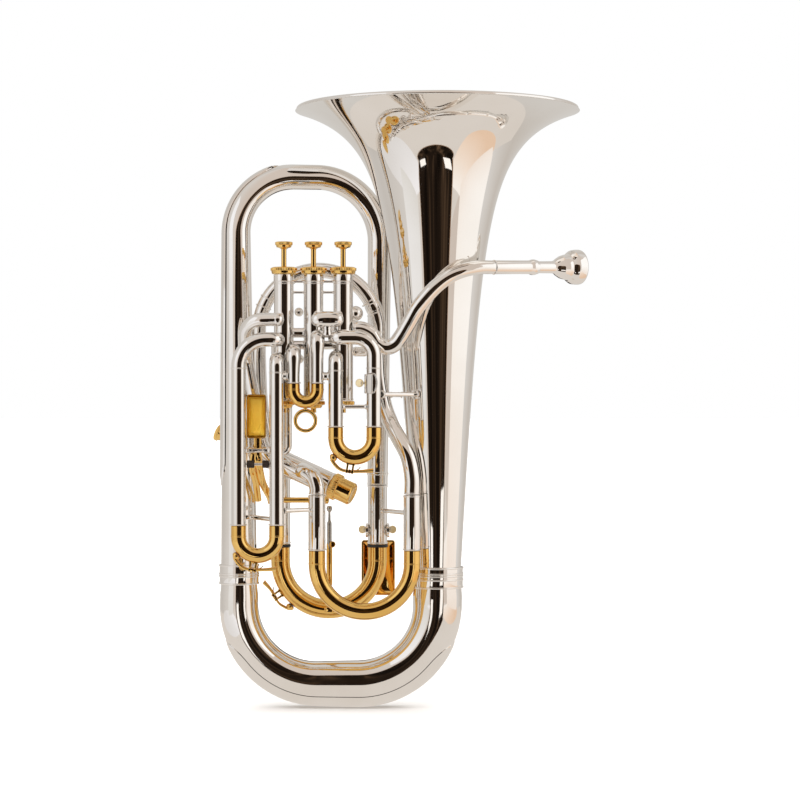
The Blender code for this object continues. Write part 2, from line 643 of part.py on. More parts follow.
# ---------------------------------------------------------------- tuning slide trigger
def make_trigger():
    """Lever with its thumb saddle and cross shaft, the lugs it pivots in, and the push rod."""
    saddle = block("saddle", (0.0205, 0.0140, 0.0465), (-0.1525, -0.0470, 0.3148), None)
    hollow = block("saddle_hollow", (0.0181, 0.0140, 0.0420), (-0.1525, -0.0488, 0.3148), None)
    cup = combined(saddle, [hollow], "DIFFERENCE", None)
    axle = tube("trigger_lever", [PIVOT + Vector((s, 0, 0)) for s in (-0.0115, 0.0115)], 0.0036, "gold", None, 10)
    arm_path = [
        PIVOT + Vector((0, 0, 0.0134)),
        PIVOT,
        PIVOT + Vector((0.001, 0.004, -0.0150)),
        PIVOT + Vector((0.004, 0.020, -0.0350)),
        Vector((SHAFT_X[0] + 0.002, SHAFT_Y - 0.014, SHAFT_Z + 0.0055)),
        Vector((SHAFT_X[0] + 0.003, SHAFT_Y, SHAFT_Z)),
    ]
    arm = tube("arm", arm_path, 0.0026, None, None, 8)
    shaft = tube("shaft", [Vector((x, SHAFT_Y, SHAFT_Z)) for x in SHAFT_X], 0.0035, None, None, 10)
    combined(axle, [arm, shaft, cup], "UNION", "gold")
    for side, x in (("left", PIVOT.x - 0.0134), ("right", PIVOT.x + 0.0134)):
        block(f"pivot_lug_{side}", (0.0030, 0.0150, 0.0090), (x, PIVOT.y - 0.0040, PIVOT.z), "silver", bevel=0.0008)
    top, foot = Vector((SHAFT_X[1], SHAFT_Y, SHAFT_Z - 0.0062)), Vector((SHAFT_X[1], 0.0170, 0.1082))
    stations = [(0, 0.0019), (0.24, 0.0019), (0.25, 0.0042), (0.72, 0.0042), (0.73, 0.0022), (1, 0.0022)]
    tube("push_rod", [top.lerp(foot, s) for s, _ in stations], [r for _, r in stations], "gold", None, 8)


# ---------------------------------------------------------------- water keys
def crook_of(xs, y, bend_z, radius):
    """A crook's centre, bend radius and tube radius."""
    return Vector(((xs[0] + xs[1]) / 2, y, bend_z)), (xs[1] - xs[0]) / 2, radius


def off_crook(crook, turn, out):
    """The point that is out from a crook's outer surface, at an angle from straight down."""
    centre, bend, radius = crook
    return centre + Vector((math.sin(turn), 0, -math.cos(turn))) * (bend + radius + out)


def key_saddle(crook, turn):
    """The forked bracket that a water key's lever turns in, standing in the crook's wall."""
    bracket = block("saddle", (0.0056, 0.0080, 0.0120), off_crook(crook, turn, 0.0044), None, (0, -turn, 0))
    slot = block("saddle_slot", (0.0080, 0.0040, 0.0090), off_crook(crook, turn, 0.0080), None, (0, -turn, 0))
    return combined(bracket, [slot], "DIFFERENCE", None)


def make_water_key(name, crook, pad_turn, tail_turn, reach):
    """A lever under a crook, with its pad at one end. crook is its centre, bend radius and tube radius."""
    pad = [off_crook(crook, pad_turn, out) for out in (0.0006, 0.0030, 0.0032)]
    lever = []
    for share, out in ((0.03, 0.0062), (0.3, 0.0085), (0.5, KEY_PIVOT_OUT), (0.75, KEY_PIVOT_OUT)):
        lever.append(off_crook(crook, pad_turn + (tail_turn - pad_turn) * share, out))
    points = [*pad, *lever, off_crook(crook, tail_turn, KEY_PIVOT_OUT + reach)]
    tube(f"{name}_lever", points, [0.0042, 0.0042] + [0.0012] * (len(points) - 2), "gold", None, 8)


def make_water_keys():
    """Water keys on the first, third and main slides."""
    make_water_key("water_key_1", CROOK_1, *KEY_TURNS, 0.004)
    make_water_key("water_key_3", CROOK_3, *KEY_TURNS, 0.004)
    make_water_key("water_key_main", MAIN_CROOK, *MAIN_KEY_TURNS, 0.004)


CROOK_1 = crook_of(SLIDE_1_X, FRONT_Y, SLIDE_1_BEND_Z, SLIDE_TUBE_R - STEP_CROOK)
CROOK_3 = crook_of(SLIDE_3_X, FRONT_Y, SLIDE_3_BEND_Z, SLIDE_TUBE_R - STEP_CROOK)
MAIN_CROOK = crook_of(MAIN_X, REAR_Y, MAIN_BEND_Z, 0.0103)


make_bell()
make_bottom_bow()
make_branch()
make_main_slide()
make_valves()
make_valve_slides()
make_inner_tubing()
make_leadpipe()
make_fittings()
make_trigger()
make_water_keys()
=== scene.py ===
"""Finished surfaces, fittings and materials of the compensating euphonium, on its CAD frame.

Metres, in the part's own frame: +Z up along the bell, -Y to the side of the upright valves.
"""

import math

import bmesh
import bpy
from mathutils import Matrix, Vector


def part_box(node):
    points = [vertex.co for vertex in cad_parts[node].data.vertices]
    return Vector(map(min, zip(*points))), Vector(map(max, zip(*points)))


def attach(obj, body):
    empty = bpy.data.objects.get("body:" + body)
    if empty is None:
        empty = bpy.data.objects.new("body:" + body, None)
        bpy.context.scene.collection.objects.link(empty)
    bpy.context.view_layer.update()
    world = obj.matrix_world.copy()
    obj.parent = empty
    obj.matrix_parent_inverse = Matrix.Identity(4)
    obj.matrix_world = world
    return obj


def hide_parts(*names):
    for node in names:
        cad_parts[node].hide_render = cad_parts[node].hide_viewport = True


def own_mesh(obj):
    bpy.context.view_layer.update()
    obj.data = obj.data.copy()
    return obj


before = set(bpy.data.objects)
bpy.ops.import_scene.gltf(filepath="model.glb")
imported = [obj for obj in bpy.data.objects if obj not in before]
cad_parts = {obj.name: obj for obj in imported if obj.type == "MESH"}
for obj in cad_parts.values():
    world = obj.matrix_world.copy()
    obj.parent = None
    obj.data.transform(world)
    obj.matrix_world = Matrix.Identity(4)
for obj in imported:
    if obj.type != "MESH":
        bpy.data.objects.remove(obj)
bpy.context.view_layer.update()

# ---------------------------------------------------------------- dimensions shared with the part
TOP_Z = 0.6485
RIM_RADIUS = 0.1525
BELL_X = 0.0405
BELL_FOOT_Z = 0.1405
RIM_WIRE_R = 0.0023
SHEET = 0.0009
FERRULE_WALL = 0.0012
SLIDE_WALL = 0.0008
TUBE_WALL = 0.0007
GAP = 0.0004
BOW_RADII = (0.027, 0.02555, 0.0241, 0.0219, 0.02)
BOW_BEND = 0.0854
BOW_Z = 0.02585
GUARD_WALL = 0.001
BRANCH_GUARD_WALL = 0.0018
BRANCH_X = -0.1741
BRANCH_TOP_X = -0.1768
BRANCH_TOP_Z = 0.574
BRANCH_RADII = (0.0194, 0.0168, 0.0138, 0.0126, 0.0112)
REAR_Y = 0.033
MAIN_X = (-0.1309, -0.0246)
MAIN_BEND_Z = 0.1563
MAIN_TUBE_R = 0.0108
MAIN_CROOK_R = 0.0103
VALVE_Y = -0.045
VALVE_X = (-0.0605, -0.092, -0.1235)
CASING_R = 0.0104
CASING_Z = (0.3315, 0.4655)
CASING_WALL = 0.0012
STEM_R = 0.0028
BUTTON_R = 0.0093
FOURTH_FOOT = Vector((-0.0735, -0.002, 0.2401))
FOURTH_AXIS = Vector((-0.8839, 0.2394, 0.3986)).normalized()
FOURTH_R = 0.0128
FOURTH_LENGTH = 0.082
FRONT_Y = -0.0645
FOURTH_SLIDE_Y = -0.032
FOURTH_SLIDE_X = (-0.0888, 0.0129)
FOURTH_SLIDE_BEND_Z = 0.1566
FOURTH_TUBE_R = 0.0092
ARCH_X = (-0.152, -0.0237)
ARCH_Y = -0.008
ARCH_SPRING_Z = 0.4078
ARCH_R = 0.0086
RECEIVER_END = Vector((0.1472, -0.018, 0.4747))
PIPE_RISE = 0.027
PIPE_DIRECTION = Vector((math.cos(math.radians(30)), math.sin(math.radians(30)), PIPE_RISE)).normalized()
RECEIVER_LENGTH = 0.0557
PIVOT = Vector((-0.1515, -0.042, 0.2787))
LUG_ASIDE = 0.0134
SHAFT_Y, SHAFT_Z = 0.014, 0.2233
SHAFT_X = (-0.1435, -0.0768)
SLIDE_1_X = (-0.0679, -0.0276)
SLIDE_2_X = (-0.1124, -0.0872)
SLIDE_3_X = (-0.1704, -0.1302)
SLIDE_1_BEND_Z, SLIDE_2_BEND_Z, SLIDE_3_BEND_Z = 0.2917, 0.3426, 0.1878
SLIDE_TUBE_R = 0.0077
HEAD_BEND = 0.0078
SLIDE_2_TUBE_R = 0.0063
STEP_IN = 0.0014
STEP_CROOK = 0.0003
CROOK_RISE = 0.0003
KEY_PIVOT_OUT = 0.008
KEY_TURNS = (math.radians(-48), math.radians(30))
MAIN_KEY_TURNS = (math.radians(-40), math.radians(-72))
X_AXIS, Y_AXIS, Z_AXIS = Vector((1, 0, 0)), Vector((0, 1, 0)), Vector((0, 0, 1))


# ---------------------------------------------------------------- materials
def link(tree, start, end):
    tree.links.new(start, end)


def noise(tree, scale, detail, stretch=(1, 1, 1)):
    """A 3-D noise over object coordinates. Returns its factor socket."""
    coords = tree.nodes.new("ShaderNodeTexCoord")
    mapping = tree.nodes.new("ShaderNodeMapping")
    mapping.inputs["Scale"].default_value = stretch
    made = tree.nodes.new("ShaderNodeTexNoise")
    made.inputs["Scale"].default_value = scale
    made.inputs["Detail"].default_value = detail
    link(tree, coords.outputs["Object"], mapping.inputs["Vector"])
    link(tree, mapping.outputs["Vector"], made.inputs["Vector"])
    return made.outputs["Fac"]


def ramp(tree, value, *stops):
    """Colour stops along a value."""
    made = tree.nodes.new("ShaderNodeValToRGB")
    band = made.color_ramp
    while len(band.elements) < len(stops):
        band.elements.new(0.5)
    for element, (at, color) in zip(band.elements, stops):
        element.position = at
        element.color = (*color, 1.0) if isinstance(color, tuple) else (color, color, color, 1.0)
    link(tree, value, made.inputs["Fac"])
    return made.outputs["Color"]


def surface(name, clean, worn, metallic, polish, grain, depth):
    """A finish that varies, from clean to worn. grain and depth are the scale and height of its relief."""
    material = bpy.data.materials.new(name)
    material.use_nodes = True
    tree = material.node_tree
    shader = tree.nodes["Principled BSDF"]
    shader.inputs["Metallic"].default_value = metallic
    wear = noise(tree, 14.0, 5.0)
    link(tree, ramp(tree, wear, (0.35, worn), (0.62, clean)), shader.inputs["Base Color"])
    marks = noise(tree, 60.0, 6.0, (1, 1, 0.35))
    link(tree, ramp(tree, marks, (0.35, polish[0]), (0.75, polish[1])), shader.inputs["Roughness"])
    relief = tree.nodes.new("ShaderNodeBump")
    relief.inputs["Strength"].default_value = 1.0
    relief.inputs["Distance"].default_value = depth
    link(tree, noise(tree, grain, 3.0), relief.inputs["Height"])
    link(tree, relief.outputs["Normal"], shader.inputs["Normal"])
    return material


FRESH_SILVER = (0.95, 0.925, 0.895)
SILVER = surface("silver_plate_finish", FRESH_SILVER, (0.9, 0.865, 0.82), 1.0, (0.035, 0.075), 22.0, 0.0001)
BELL_SILVER = surface(
    "bell_silver_finish", FRESH_SILVER, (0.91, 0.88, 0.84), 1.0, (0.03, 0.06), 9.0, 0.00012
)
BELL_INSIDE = surface(
    "bell_inside_finish", (0.9, 0.87, 0.83), (0.84, 0.8, 0.75), 0.8, (0.1, 0.18), 9.0, 0.00012
)
GOLD = surface(
    "gold_plate_finish", (0.96, 0.64, 0.22), (0.91, 0.56, 0.16), 1.0, (0.045, 0.1), 24.0, 0.00008
)
BRUSHED_GOLD = surface(
    "brushed_gold_finish", (1.0, 0.78, 0.12), (0.98, 0.58, 0.05), 0.12, (0.22, 0.42), 130.0, 0.0012
)
PALE_GOLD = surface(
    "pale_gold_finish", (0.93, 0.8, 0.52), (0.86, 0.7, 0.4), 0.7, (0.25, 0.4), 200.0, 0.00005
)
STEEL = surface(
    "lapped_alloy_finish", (0.62, 0.6, 0.57), (0.48, 0.47, 0.45), 1.0, (0.16, 0.32), 300.0, 0.00002
)
RUBBER = surface(
    "bumper_rubber_finish", (0.016, 0.015, 0.014), (0.03, 0.028, 0.026), 0.0, (0.45, 0.75), 900.0, 0.00005
)
FELT = surface(
    "felt_finish", (0.028, 0.018, 0.012), (0.055, 0.036, 0.025), 0.0, (0.85, 1.0), 1500.0, 0.0003
)
CORK = surface("key_cork_finish", (0.2, 0.12, 0.06), (0.12, 0.07, 0.035), 0.0, (0.7, 0.95), 1200.0, 0.0001)


# ---------------------------------------------------------------- shapes: each is (points, faces)
def skin(rows, closed=False):
    """Faces between rows of points. One point alone is a pole. closed joins the last row to the first."""
    points, faces, starts = [], [], []
    for row in rows:
        starts.append(len(points))
        points += row
    steps = list(zip(range(len(rows) - 1), range(1, len(rows))))
    if closed:
        steps.append((len(rows) - 1, 0))
    for a, b in steps:
        around = max(len(rows[a]), len(rows[b]))
        for k in range(around):
            n = (k + 1) % around
            if len(rows[a]) == 1:
                faces.append((starts[a], starts[b] + n, starts[b] + k))
            elif len(rows[b]) == 1:
                faces.append((starts[a] + k, starts[a] + n, starts[b]))
            else:
                faces.append((starts[a] + k, starts[a] + n, starts[b] + n, starts[b] + k))
    return points, faces


def eased(profile, radius, ring):
    """A profile with its corners rounded."""
    steps = 3
    points = [Vector((*p, 0)) for p in profile]
    count = len(points)
    made = []
    for i, corner in enumerate(points):
        if not ring and i in (0, count - 1):
            made.append((corner.x, corner.y))
            continue
        back, ahead = points[i - 1] - corner, points[(i + 1) % count] - corner
        if back.length < 1e-7 or ahead.length < 1e-7:
            continue
        cut = min(radius, back.length * 0.45, ahead.length * 0.45)
        first, last = corner + back.normalized() * cut, corner + ahead.normalized() * cut
        for k in range(steps + 1):
            t = k / steps
            spot = first * (1 - t) ** 2 + corner * (2 * t * (1 - t)) + last * t**2
            made.append((spot.x, spot.y))
    return made


def turned(profile, at=(0, 0, 0), axis=Z_AXIS, segments=64, ring=False, flutes=None, ease=0.0005):
    """A profile of (radius, height) turned about axis. flutes is (count, depth, low, high) of a knurl."""
    spin = Vector(axis).to_track_quat("Z", "Y")
    if flutes:
        segments = flutes[0] * 6
    rows = []
    for radius, height in eased(profile, ease, ring) if ease else profile:
        if radius < 1e-6:
            rows.append([Vector(at) + spin @ Vector((0, 0, height))])
            continue
        row = []
        for k in range(segments):
            turn = 2 * math.pi * k / segments
            r = radius
            if flutes and flutes[2] <= height <= flutes[3]:
                r -= flutes[1] * (0.5 - 0.5 * math.cos(turn * flutes[0])) ** 1.5
            row.append(Vector(at) + spin @ Vector((r * math.cos(turn), r * math.sin(turn), height)))
        rows.append(row)
    return skin(rows, ring)


def sweep(path, radius, wall=None, sides=36, flat=None):
    """A tube or rod along path. flat is (direction, share), which squeezes it across that direction."""
    path = [Vector(p) for p in path]
    radii = list(radius) if isinstance(radius, (list, tuple)) else [radius] * len(path)
    last = len(path) - 1
    across = None
    outer, inner = [], []
    for i, (p, r) in enumerate(zip(path, radii)):
        along = (path[min(i + 1, last)] - path[max(i - 1, 0)]).normalized()
        across = along.orthogonal() if across is None else across - along * across.dot(along)
        across.normalize()
        other = along.cross(across)
        for rows, size in ((outer, r), (inner, r - (wall or 0))):
            row = []
            for k in range(sides):
                turn = 2 * math.pi * k / sides
                out = (across * math.cos(turn) + other * math.sin(turn)) * size
                if flat:
                    out -= flat[0] * out.dot(flat[0]) * (1 - flat[1])
                row.append(p + out)
            rows.append(row)
    if wall:
        return skin(outer + inner[::-1], closed=True)
    return skin([[path[0]], *outer, [path[-1]]])


def slab(size, at, turn=(0, 0, 0), ease=0.0006):
    """A box with rounded edges."""
    made = bmesh.new()
    bmesh.ops.create_cube(made, size=1.0, matrix=Matrix.Diagonal((*size, 1.0)))
    bmesh.ops.bevel(
        made, geom=made.edges[:], offset=ease, segments=3, affect="EDGES", profile=0.5, clamp_overlap=True
    )
    made.verts.index_update()
    spin = Matrix.Translation(at) @ Matrix.Rotation(turn[2], 4, "Z") @ Matrix.Rotation(turn[1], 4, "Y")
    spin = spin @ Matrix.Rotation(turn[0], 4, "X")
    shape = [spin @ v.co for v in made.verts], [tuple(v.index for v in f.verts) for f in made.faces]
    made.free()
    return shape


def tray(width, height, corner, levels, at, right=X_AXIS, up=Z_AXIS):
    """Nested rounded rectangles, each an (inset, depth) level. Depth runs along right x up."""
    out = right.cross(up)
    rows = [[Vector(at) + out * levels[0][1]]]
    for inset, depth in levels:
        w, h = width / 2 - inset, height / 2 - inset
        r = max(min(corner - inset, w, h), 0.0003)
        row = []
        for k in range(32):
            turn = 2 * math.pi * (k + 0.5) / 32
            c, s = math.cos(turn), math.sin(turn)
            row.append(
                Vector(at)
                + right * (math.copysign(w - r, c) + r * c)
                + up * (math.copysign(h - r, s) + r * s)
                + out * depth
            )
        rows.append(row)
    rows.append([Vector(at) + out * levels[-1][1]])
    return skin(rows)


def bent(corners, bends, steps=16):
    """Straight runs through corners, rounded at each inner corner by an arc of the given radius."""
    corners = [Vector(c) for c in corners]
    path = [corners[0]]
    for before, corner, after, radius in zip(corners, corners[1:], corners[2:], bends):
        back, ahead = (before - corner).normalized(), (after - corner).normalized()
        half = back.angle(ahead) / 2
        reach = radius / math.tan(half)
        centre = corner + (back + ahead).normalized() * (radius / math.sin(half))
        start, end = corner + back * reach - centre, corner + ahead * reach - centre
        for i in range(steps + 1):
            path.append(centre + start.slerp(end, i / steps).normalized() * radius)
    path.append(corners[-1])
    return filled(path)


def filled(path, longest=0.012):
    """The path with its long runs divided and repeated points left out."""
    made = [path[0]]
    for p in path[1:]:
        run = (p - made[-1]).length
        if run < 1e-5:
            continue
        count = max(1, math.ceil(run / longest))
        made += [made[-1].lerp(p, (k + 1) / count) for k in range(count)]
    return made


def smooth(points, steps=8):
    """A Catmull-Rom curve through points."""
    points = [Vector(p) for p in points]
    padded = [points[0] * 2 - points[1], *points, points[-1] * 2 - points[-2]]
    path = []
    for a, b, c, d in zip(padded, padded[1:], padded[2:], padded[3:]):
        for i in range(steps):
            t = i / steps
            square, cube = a * 2 - b * 5 + c * 4 - d, b * 3 - a - c * 3 + d
            path.append(0.5 * (b * 2 + (c - a) * t + square * t**2 + cube * t**3))
    path.append(points[-1])
    return path


def taper(path, *radii):
    """A radius for each point of path, through radii that are evenly spaced along its length."""
    run = [0.0]
    for a, b in zip(path, path[1:]):
        run.append(run[-1] + (b - a).length)
    made = []
    for s in run:
        share = s / run[-1] * (len(radii) - 1)
        i = min(int(share), len(radii) - 2)
        made.append(radii[i] + (radii[i + 1] - radii[i]) * (share - i))
    return made


def u_path(xs, y, bend_z, tops):
    """Down one leg, round a half circle and up the other."""
    middle, radius, steps = (xs[0] + xs[1]) / 2, (xs[1] - xs[0]) / 2, 40
    path = [Vector((xs[0], y, tops[0]))]
    for i in range(steps + 1):
        turn = math.pi * i / steps
        path.append(Vector((middle - radius * math.cos(turn), y, bend_z - radius * math.sin(turn))))
    path.append(Vector((xs[1], y, tops[1])))
    return path


def bead(at, axis, radius, width=0.0014, rise=0.0006):
    """A half-round ring on a tube."""
    half, sunk = width / 2, radius - 0.0003
    curve = [math.pi * i / 8 for i in range(9)]
    profile = [(radius + rise * math.sin(t), -half * math.cos(t)) for t in curve]
    return turned([(sunk, -half), *profile, (sunk, half)], at, axis, 48, ring=True, ease=0)


def disc(at, axis, radius, half, segments=40, ease=0.0005):
    """A round disc or pin that reaches half to either side of its centre."""
    return turned([(0, half), (radius, half), (radius, -half), (0, -half)], at, axis, segments, ease=ease)


def pipe(at, outer, inner, low, high, segments=48, ease=0.0005):
    """A straight upright tube."""
    profile = [(outer, high), (outer, low), (inner, low), (inner, high)]
    return turned(profile, at, segments=segments, ring=True, ease=ease)


def rod(start, end, radius, flange=0.0016, thick=0.0012):
    """A brace with a domed flange at each end."""
    start, end = Vector(start), Vector(end)
    length = (end - start).length
    wide = radius + flange
    half = [(0, 0), (wide, 0), (wide, thick * 0.6), (radius + 0.0004, thick * 1.5), (radius, thick * 2.2)]
    profile = half + [(r, length - h) for r, h in reversed(half)]
    return turned(profile, start, end - start, 32, ease=0.0003)


pieces = bpy.data.collections.new("finished")
bpy.context.scene.collection.children.link(pieces)


def piece(name, shapes, material, body="horn", nodes=()):
    """One shown object made of shapes, riding a body and standing for CAD nodes."""
    mesh = bpy.data.meshes.new(name)
    points, faces = [], []
    for shape_points, shape_faces in shapes:
        base = len(points)
        points += shape_points
        faces += [tuple(base + i for i in face) for face in shape_faces]
    mesh.from_pydata(points, [], faces)
    made = bmesh.new()
    made.from_mesh(mesh)
    bmesh.ops.recalc_face_normals(made, faces=made.faces)
    made.to_mesh(mesh)
    made.free()
    mesh.polygons.foreach_set("use_smooth", [True] * len(mesh.polygons))
    mesh.set_sharp_from_angle(angle=math.radians(40))
    mesh.materials.append(material)
    obj = bpy.data.objects.new(name, mesh)
    pieces.objects.link(obj)
    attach(obj, body)
    if nodes:
        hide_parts(*nodes)
    return obj


# ---------------------------------------------------------------- bell
def bell_radius(depth):
    """Outer radius of the bell at a depth below the rim."""
    return 0.04298 - 0.0447 * depth + 0.0021425 / (depth + 0.04115) ** 1.276


def make_bell():
    edge, foot, rows = 0.0042, TOP_Z - BELL_FOOT_Z, 110
    depths = [edge + (foot - edge) * (i / rows) ** 1.9 for i in range(rows + 1)]
    outer = [(bell_radius(d), TOP_Z - d) for d in depths]

    def within(share):
        """The bell's outline that far into the sheet."""
        deep = SHEET * share
        return [(r - deep, z + (deep * 0.8 if z > outer[-1][1] else 0)) for r, z in outer]

    for name, start, end, material in (("sheet", 0, 0.6, BELL_SILVER), ("inside", 0.65, 1, BELL_INSIDE)):
        shape = turned(within(start) + within(end)[::-1], (BELL_X, 0, 0), segments=192, ring=True, ease=0)
        piece(f"bell_{name}", [shape], material, nodes=["bell"])
    r = RIM_WIRE_R
    turns = [2 * math.pi * i / 20 for i in range(20)]
    wire = [(RIM_RADIUS - r + r * math.cos(t), TOP_Z - r + r * math.sin(t)) for t in turns]
    rim = turned(wire, (BELL_X, 0, 0), segments=192, ring=True, ease=0)
    piece("bell_rolled_rim", [rim], SILVER, nodes=["bell_rim_wire"])
    ferrule("bell_ferrule", BELL_X, 0.1292, 0.152, 0.0263, (0.1509, 0.1449, 0.1424, 0.1384, 0.1301))


def ferrule(name, x, low, high, inner, beads):
    """A sleeve with beads at heights."""
    skin_r = inner + FERRULE_WALL
    shapes = [pipe((x, 0, 0), skin_r, inner, low, high, 96)]
    for z in beads:
        shapes.append(bead((x, 0, z), Z_AXIS, skin_r, 0.0019, 0.0009))
    piece(name + "_sleeve", shapes, SILVER, nodes=[name])


# ---------------------------------------------------------------- bows and branch
def guard(path, radii, kept, centre, cover, wall):
    """A plate over the outer side of a bend, along the kept points, with rounded ends and a thickness."""
    path, radii = [path[i] for i in kept], [radii[i] for i in kept]
    run = [0.0]
    for a, b in zip(path, path[1:]):
        run.append(run[-1] + (b - a).length)
    reach = 0.028
    last = len(path) - 1
    tops, unders = [], []
    across = 16
    for i, (p, r) in enumerate(zip(path, radii)):
        along = (path[min(i + 1, last)] - path[max(i - 1, 0)]).normalized()
        outward = Y_AXIS.cross(along).normalized()
        if outward.dot(p - centre) < 0:
            outward.negate()
        near = min(run[i], run[-1] - run[i], reach) / reach
        thick = wall * min(1.0, 0.12 + near * 4)
        half = cover * math.sqrt(max(1 - (1 - near) ** 2, 0.02))
        top, under = [], []
        for k in range(across + 1):
            turn = half * (2 * k / across - 1)
            way = outward * math.cos(turn) + Y_AXIS * math.sin(turn)
            edge = min(k, across - k, 1)
            top.append(p + way * (r + GAP * 0.6 + thick * (0.35 + 0.65 * edge)))
            under.append(p + way * (r + GAP * 0.3))
        tops.append(top)
        unders.append(under)
    rows = [t + u[::-1] for t, u in zip(tops, unders)]
    ends = [[sum(row, Vector()) / len(row)] for row in (rows[0], rows[-1])]
    return skin([ends[0], *rows, ends[1]])


def make_bottom_bow():
    corners = [(BELL_X, 0, 0.1398), (BELL_X, 0, BOW_Z), (BRANCH_X, 0, BOW_Z), (BRANCH_X, 0, 0.1445)]
    path = bent(corners, (BOW_BEND, BOW_BEND), steps=30)
    radii = taper(path, *BOW_RADII)
    for i, p in enumerate(path):
        if p.z > 0.128 and p.x > 0:
            radii[i] = 0.0258
        if p.z > 0.132 and p.x < 0:
            radii[i] = 0.0194
    piece("bottom_bow_tube", [sweep(path, radii, SHEET, 96)], SILVER, nodes=["bottom_bow"])
    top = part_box("bow_guard")[1].z
    kept = [i for i, p in enumerate(path) if p.z < top - 0.004]
    centre = Vector(((BELL_X + BRANCH_X) / 2, 0, 0.11))
    plate = guard(path, radii, kept, centre, math.radians(58), GUARD_WALL)
    piece("bow_guard_plate", [plate], SILVER, nodes=["bow_guard"])


def make_branch():
    ferrule("branch_ferrule", BRANCH_X, 0.133, 0.1547, 0.0199, (0.1536, 0.1445, 0.142, 0.1341))
    corners = [
        (BRANCH_X, 0, 0.1452), (BRANCH_TOP_X, 0, BRANCH_TOP_Z),
        (MAIN_X[1] + 0.0028, REAR_Y, BRANCH_TOP_Z + 0.001), (MAIN_X[1], REAR_Y, 0.24),
    ]
    path = bent(corners, (0.062, 0.069), steps=30)
    radii = taper(path, *BRANCH_RADII)
    shapes = [sweep(path, radii, SHEET, 72)]
    for z, wide in ((0.256, 0.0034), (0.242, 0.0012)):
        i = min(range(len(path) // 2, len(path)), key=lambda k: abs(path[k].z - z))
        shapes.append(bead(path[i], path[i] - path[i - 1], radii[i] + 0.0002, wide, 0.0006))
    piece("top_branch_tube", shapes, SILVER, nodes=["top_branch"])
    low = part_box("branch_guard")[0].z
    kept = [i for i, p in enumerate(path[: len(path) * 2 // 3]) if p.z > low + 0.004 and p.x < -0.127]
    centre = Vector((-0.1, 0, 0.42))
    plate = guard(path, radii, kept, centre, math.radians(42), BRANCH_GUARD_WALL)
    piece("branch_guard_plate", [plate], SILVER, nodes=["branch_guard"])


# ---------------------------------------------------------------- slides
def sliding_u(path, shoulder_z, leg_r, crook_r):
    """A crook whose legs are thinner above the shoulder, where they run inside the outer tubes."""
    ends = []
    for tip in (path[0], path[-1]):
        at = Vector((tip.x, tip.y, shoulder_z))
        ends.append([tip, at + Z_AXIS * 0.0006, at])
    points = filled([*ends[0], *path[1:-1], *reversed(ends[1])], 0.01)
    radii = [leg_r if p.z > shoulder_z + 0.0003 else crook_r for p in points]
    return sweep(points, radii, SLIDE_WALL)


def crook_beads(xs, y, bend_z, radius):
    """The seams where a crook meets its two straight legs."""
    return [bead((x, y, bend_z + 0.0005), Z_AXIS, radius, 0.0016, 0.0003) for x in xs]


def make_main_slide():
    for side, x, top in zip(("left", "right"), MAIN_X, (0.247, 0.239)):
        at = Vector((x, REAR_Y, 0))
        shapes = [pipe(at, MAIN_TUBE_R, MAIN_TUBE_R - SLIDE_WALL, 0.1745, top)]
        for z in (0.1758, top - 0.0012):
            shapes.append(bead(at + Z_AXIS * z, Z_AXIS, MAIN_TUBE_R, 0.0018, 0.0007))
        piece(f"main_receiver_{side}_tube", shapes, SILVER, nodes=[f"main_receiver_{side}"])
        ring = pipe(at, 0.0113, 0.0098, 0.1712, 0.1741, ease=0.0007)
        piece(f"main_bumper_{side}_ring", [ring], RUBBER, "main_slide", [f"main_bumper_{side}"])
    path = u_path(MAIN_X, REAR_Y, MAIN_BEND_Z, (0.23, 0.23))
    shapes = [sliding_u(path, 0.1708, 0.0094, MAIN_CROOK_R)]
    shapes += crook_beads(MAIN_X, REAR_Y, MAIN_BEND_Z, MAIN_CROOK_R)
    clamp = Vector((SHAFT_X[1], 0.0197, 0.1032))
    shapes.append(slab((0.008, 0.0088, 0.008), clamp, ease=0.0012))
    shapes.append(disc(clamp, X_AXIS, 0.0026, 0.0058, 24))
    shapes += key_bracket(MAIN_CROOK, sum(MAIN_KEY_TURNS) / 2)
    piece("main_slide_crook", shapes, GOLD, "main_slide", ["main_slide"])


def make_slide(number, xs, bend_z, gold_z, radius, tops, heads):
    """Outer tubes and sliding crook of one valve, as in the part."""
    back = FRONT_Y + 0.008
    tubes = []
    for x, top, head in zip(xs, tops, heads):
        if head is None:
            path = bent([(x, FRONT_Y, gold_z + GAP), (x, FRONT_Y, top), (x, back, top)], (HEAD_BEND,))
        else:
            bend, to_x = head
            corners = [(x, FRONT_Y, gold_z + GAP), (x, FRONT_Y, top), (to_x, FRONT_Y, top)]
            path = bent([*corners, (to_x, back, top)], (bend, HEAD_BEND))
        swell = 0.0014 if number == 2 else 0.0
        radii = [radius + swell * min(max((p.z - top + 0.02) / 0.012, 0), 1) for p in path]
        shapes = [sweep(path, radii, TUBE_WALL)]
        shapes.append(bead((x, FRONT_Y, gold_z + 0.0012), Z_AXIS, radius, 0.0016, 0.0014))
        ring_z = min(0.3655, top - 0.014) if number != 2 else top - 0.011
        shapes.append(bead((x, FRONT_Y, ring_z), Z_AXIS, radius, 0.0014, 0.0006))
        tubes.append(shapes)
    path = u_path(xs, FRONT_Y, bend_z, [gold_z + (min(tops) - gold_z) * 0.72] * 2)
    crook = [sliding_u(path, gold_z, radius - STEP_IN, radius + CROOK_RISE)]
    crook += crook_beads(xs, FRONT_Y, bend_z, radius + CROOK_RISE)
    return tubes, crook


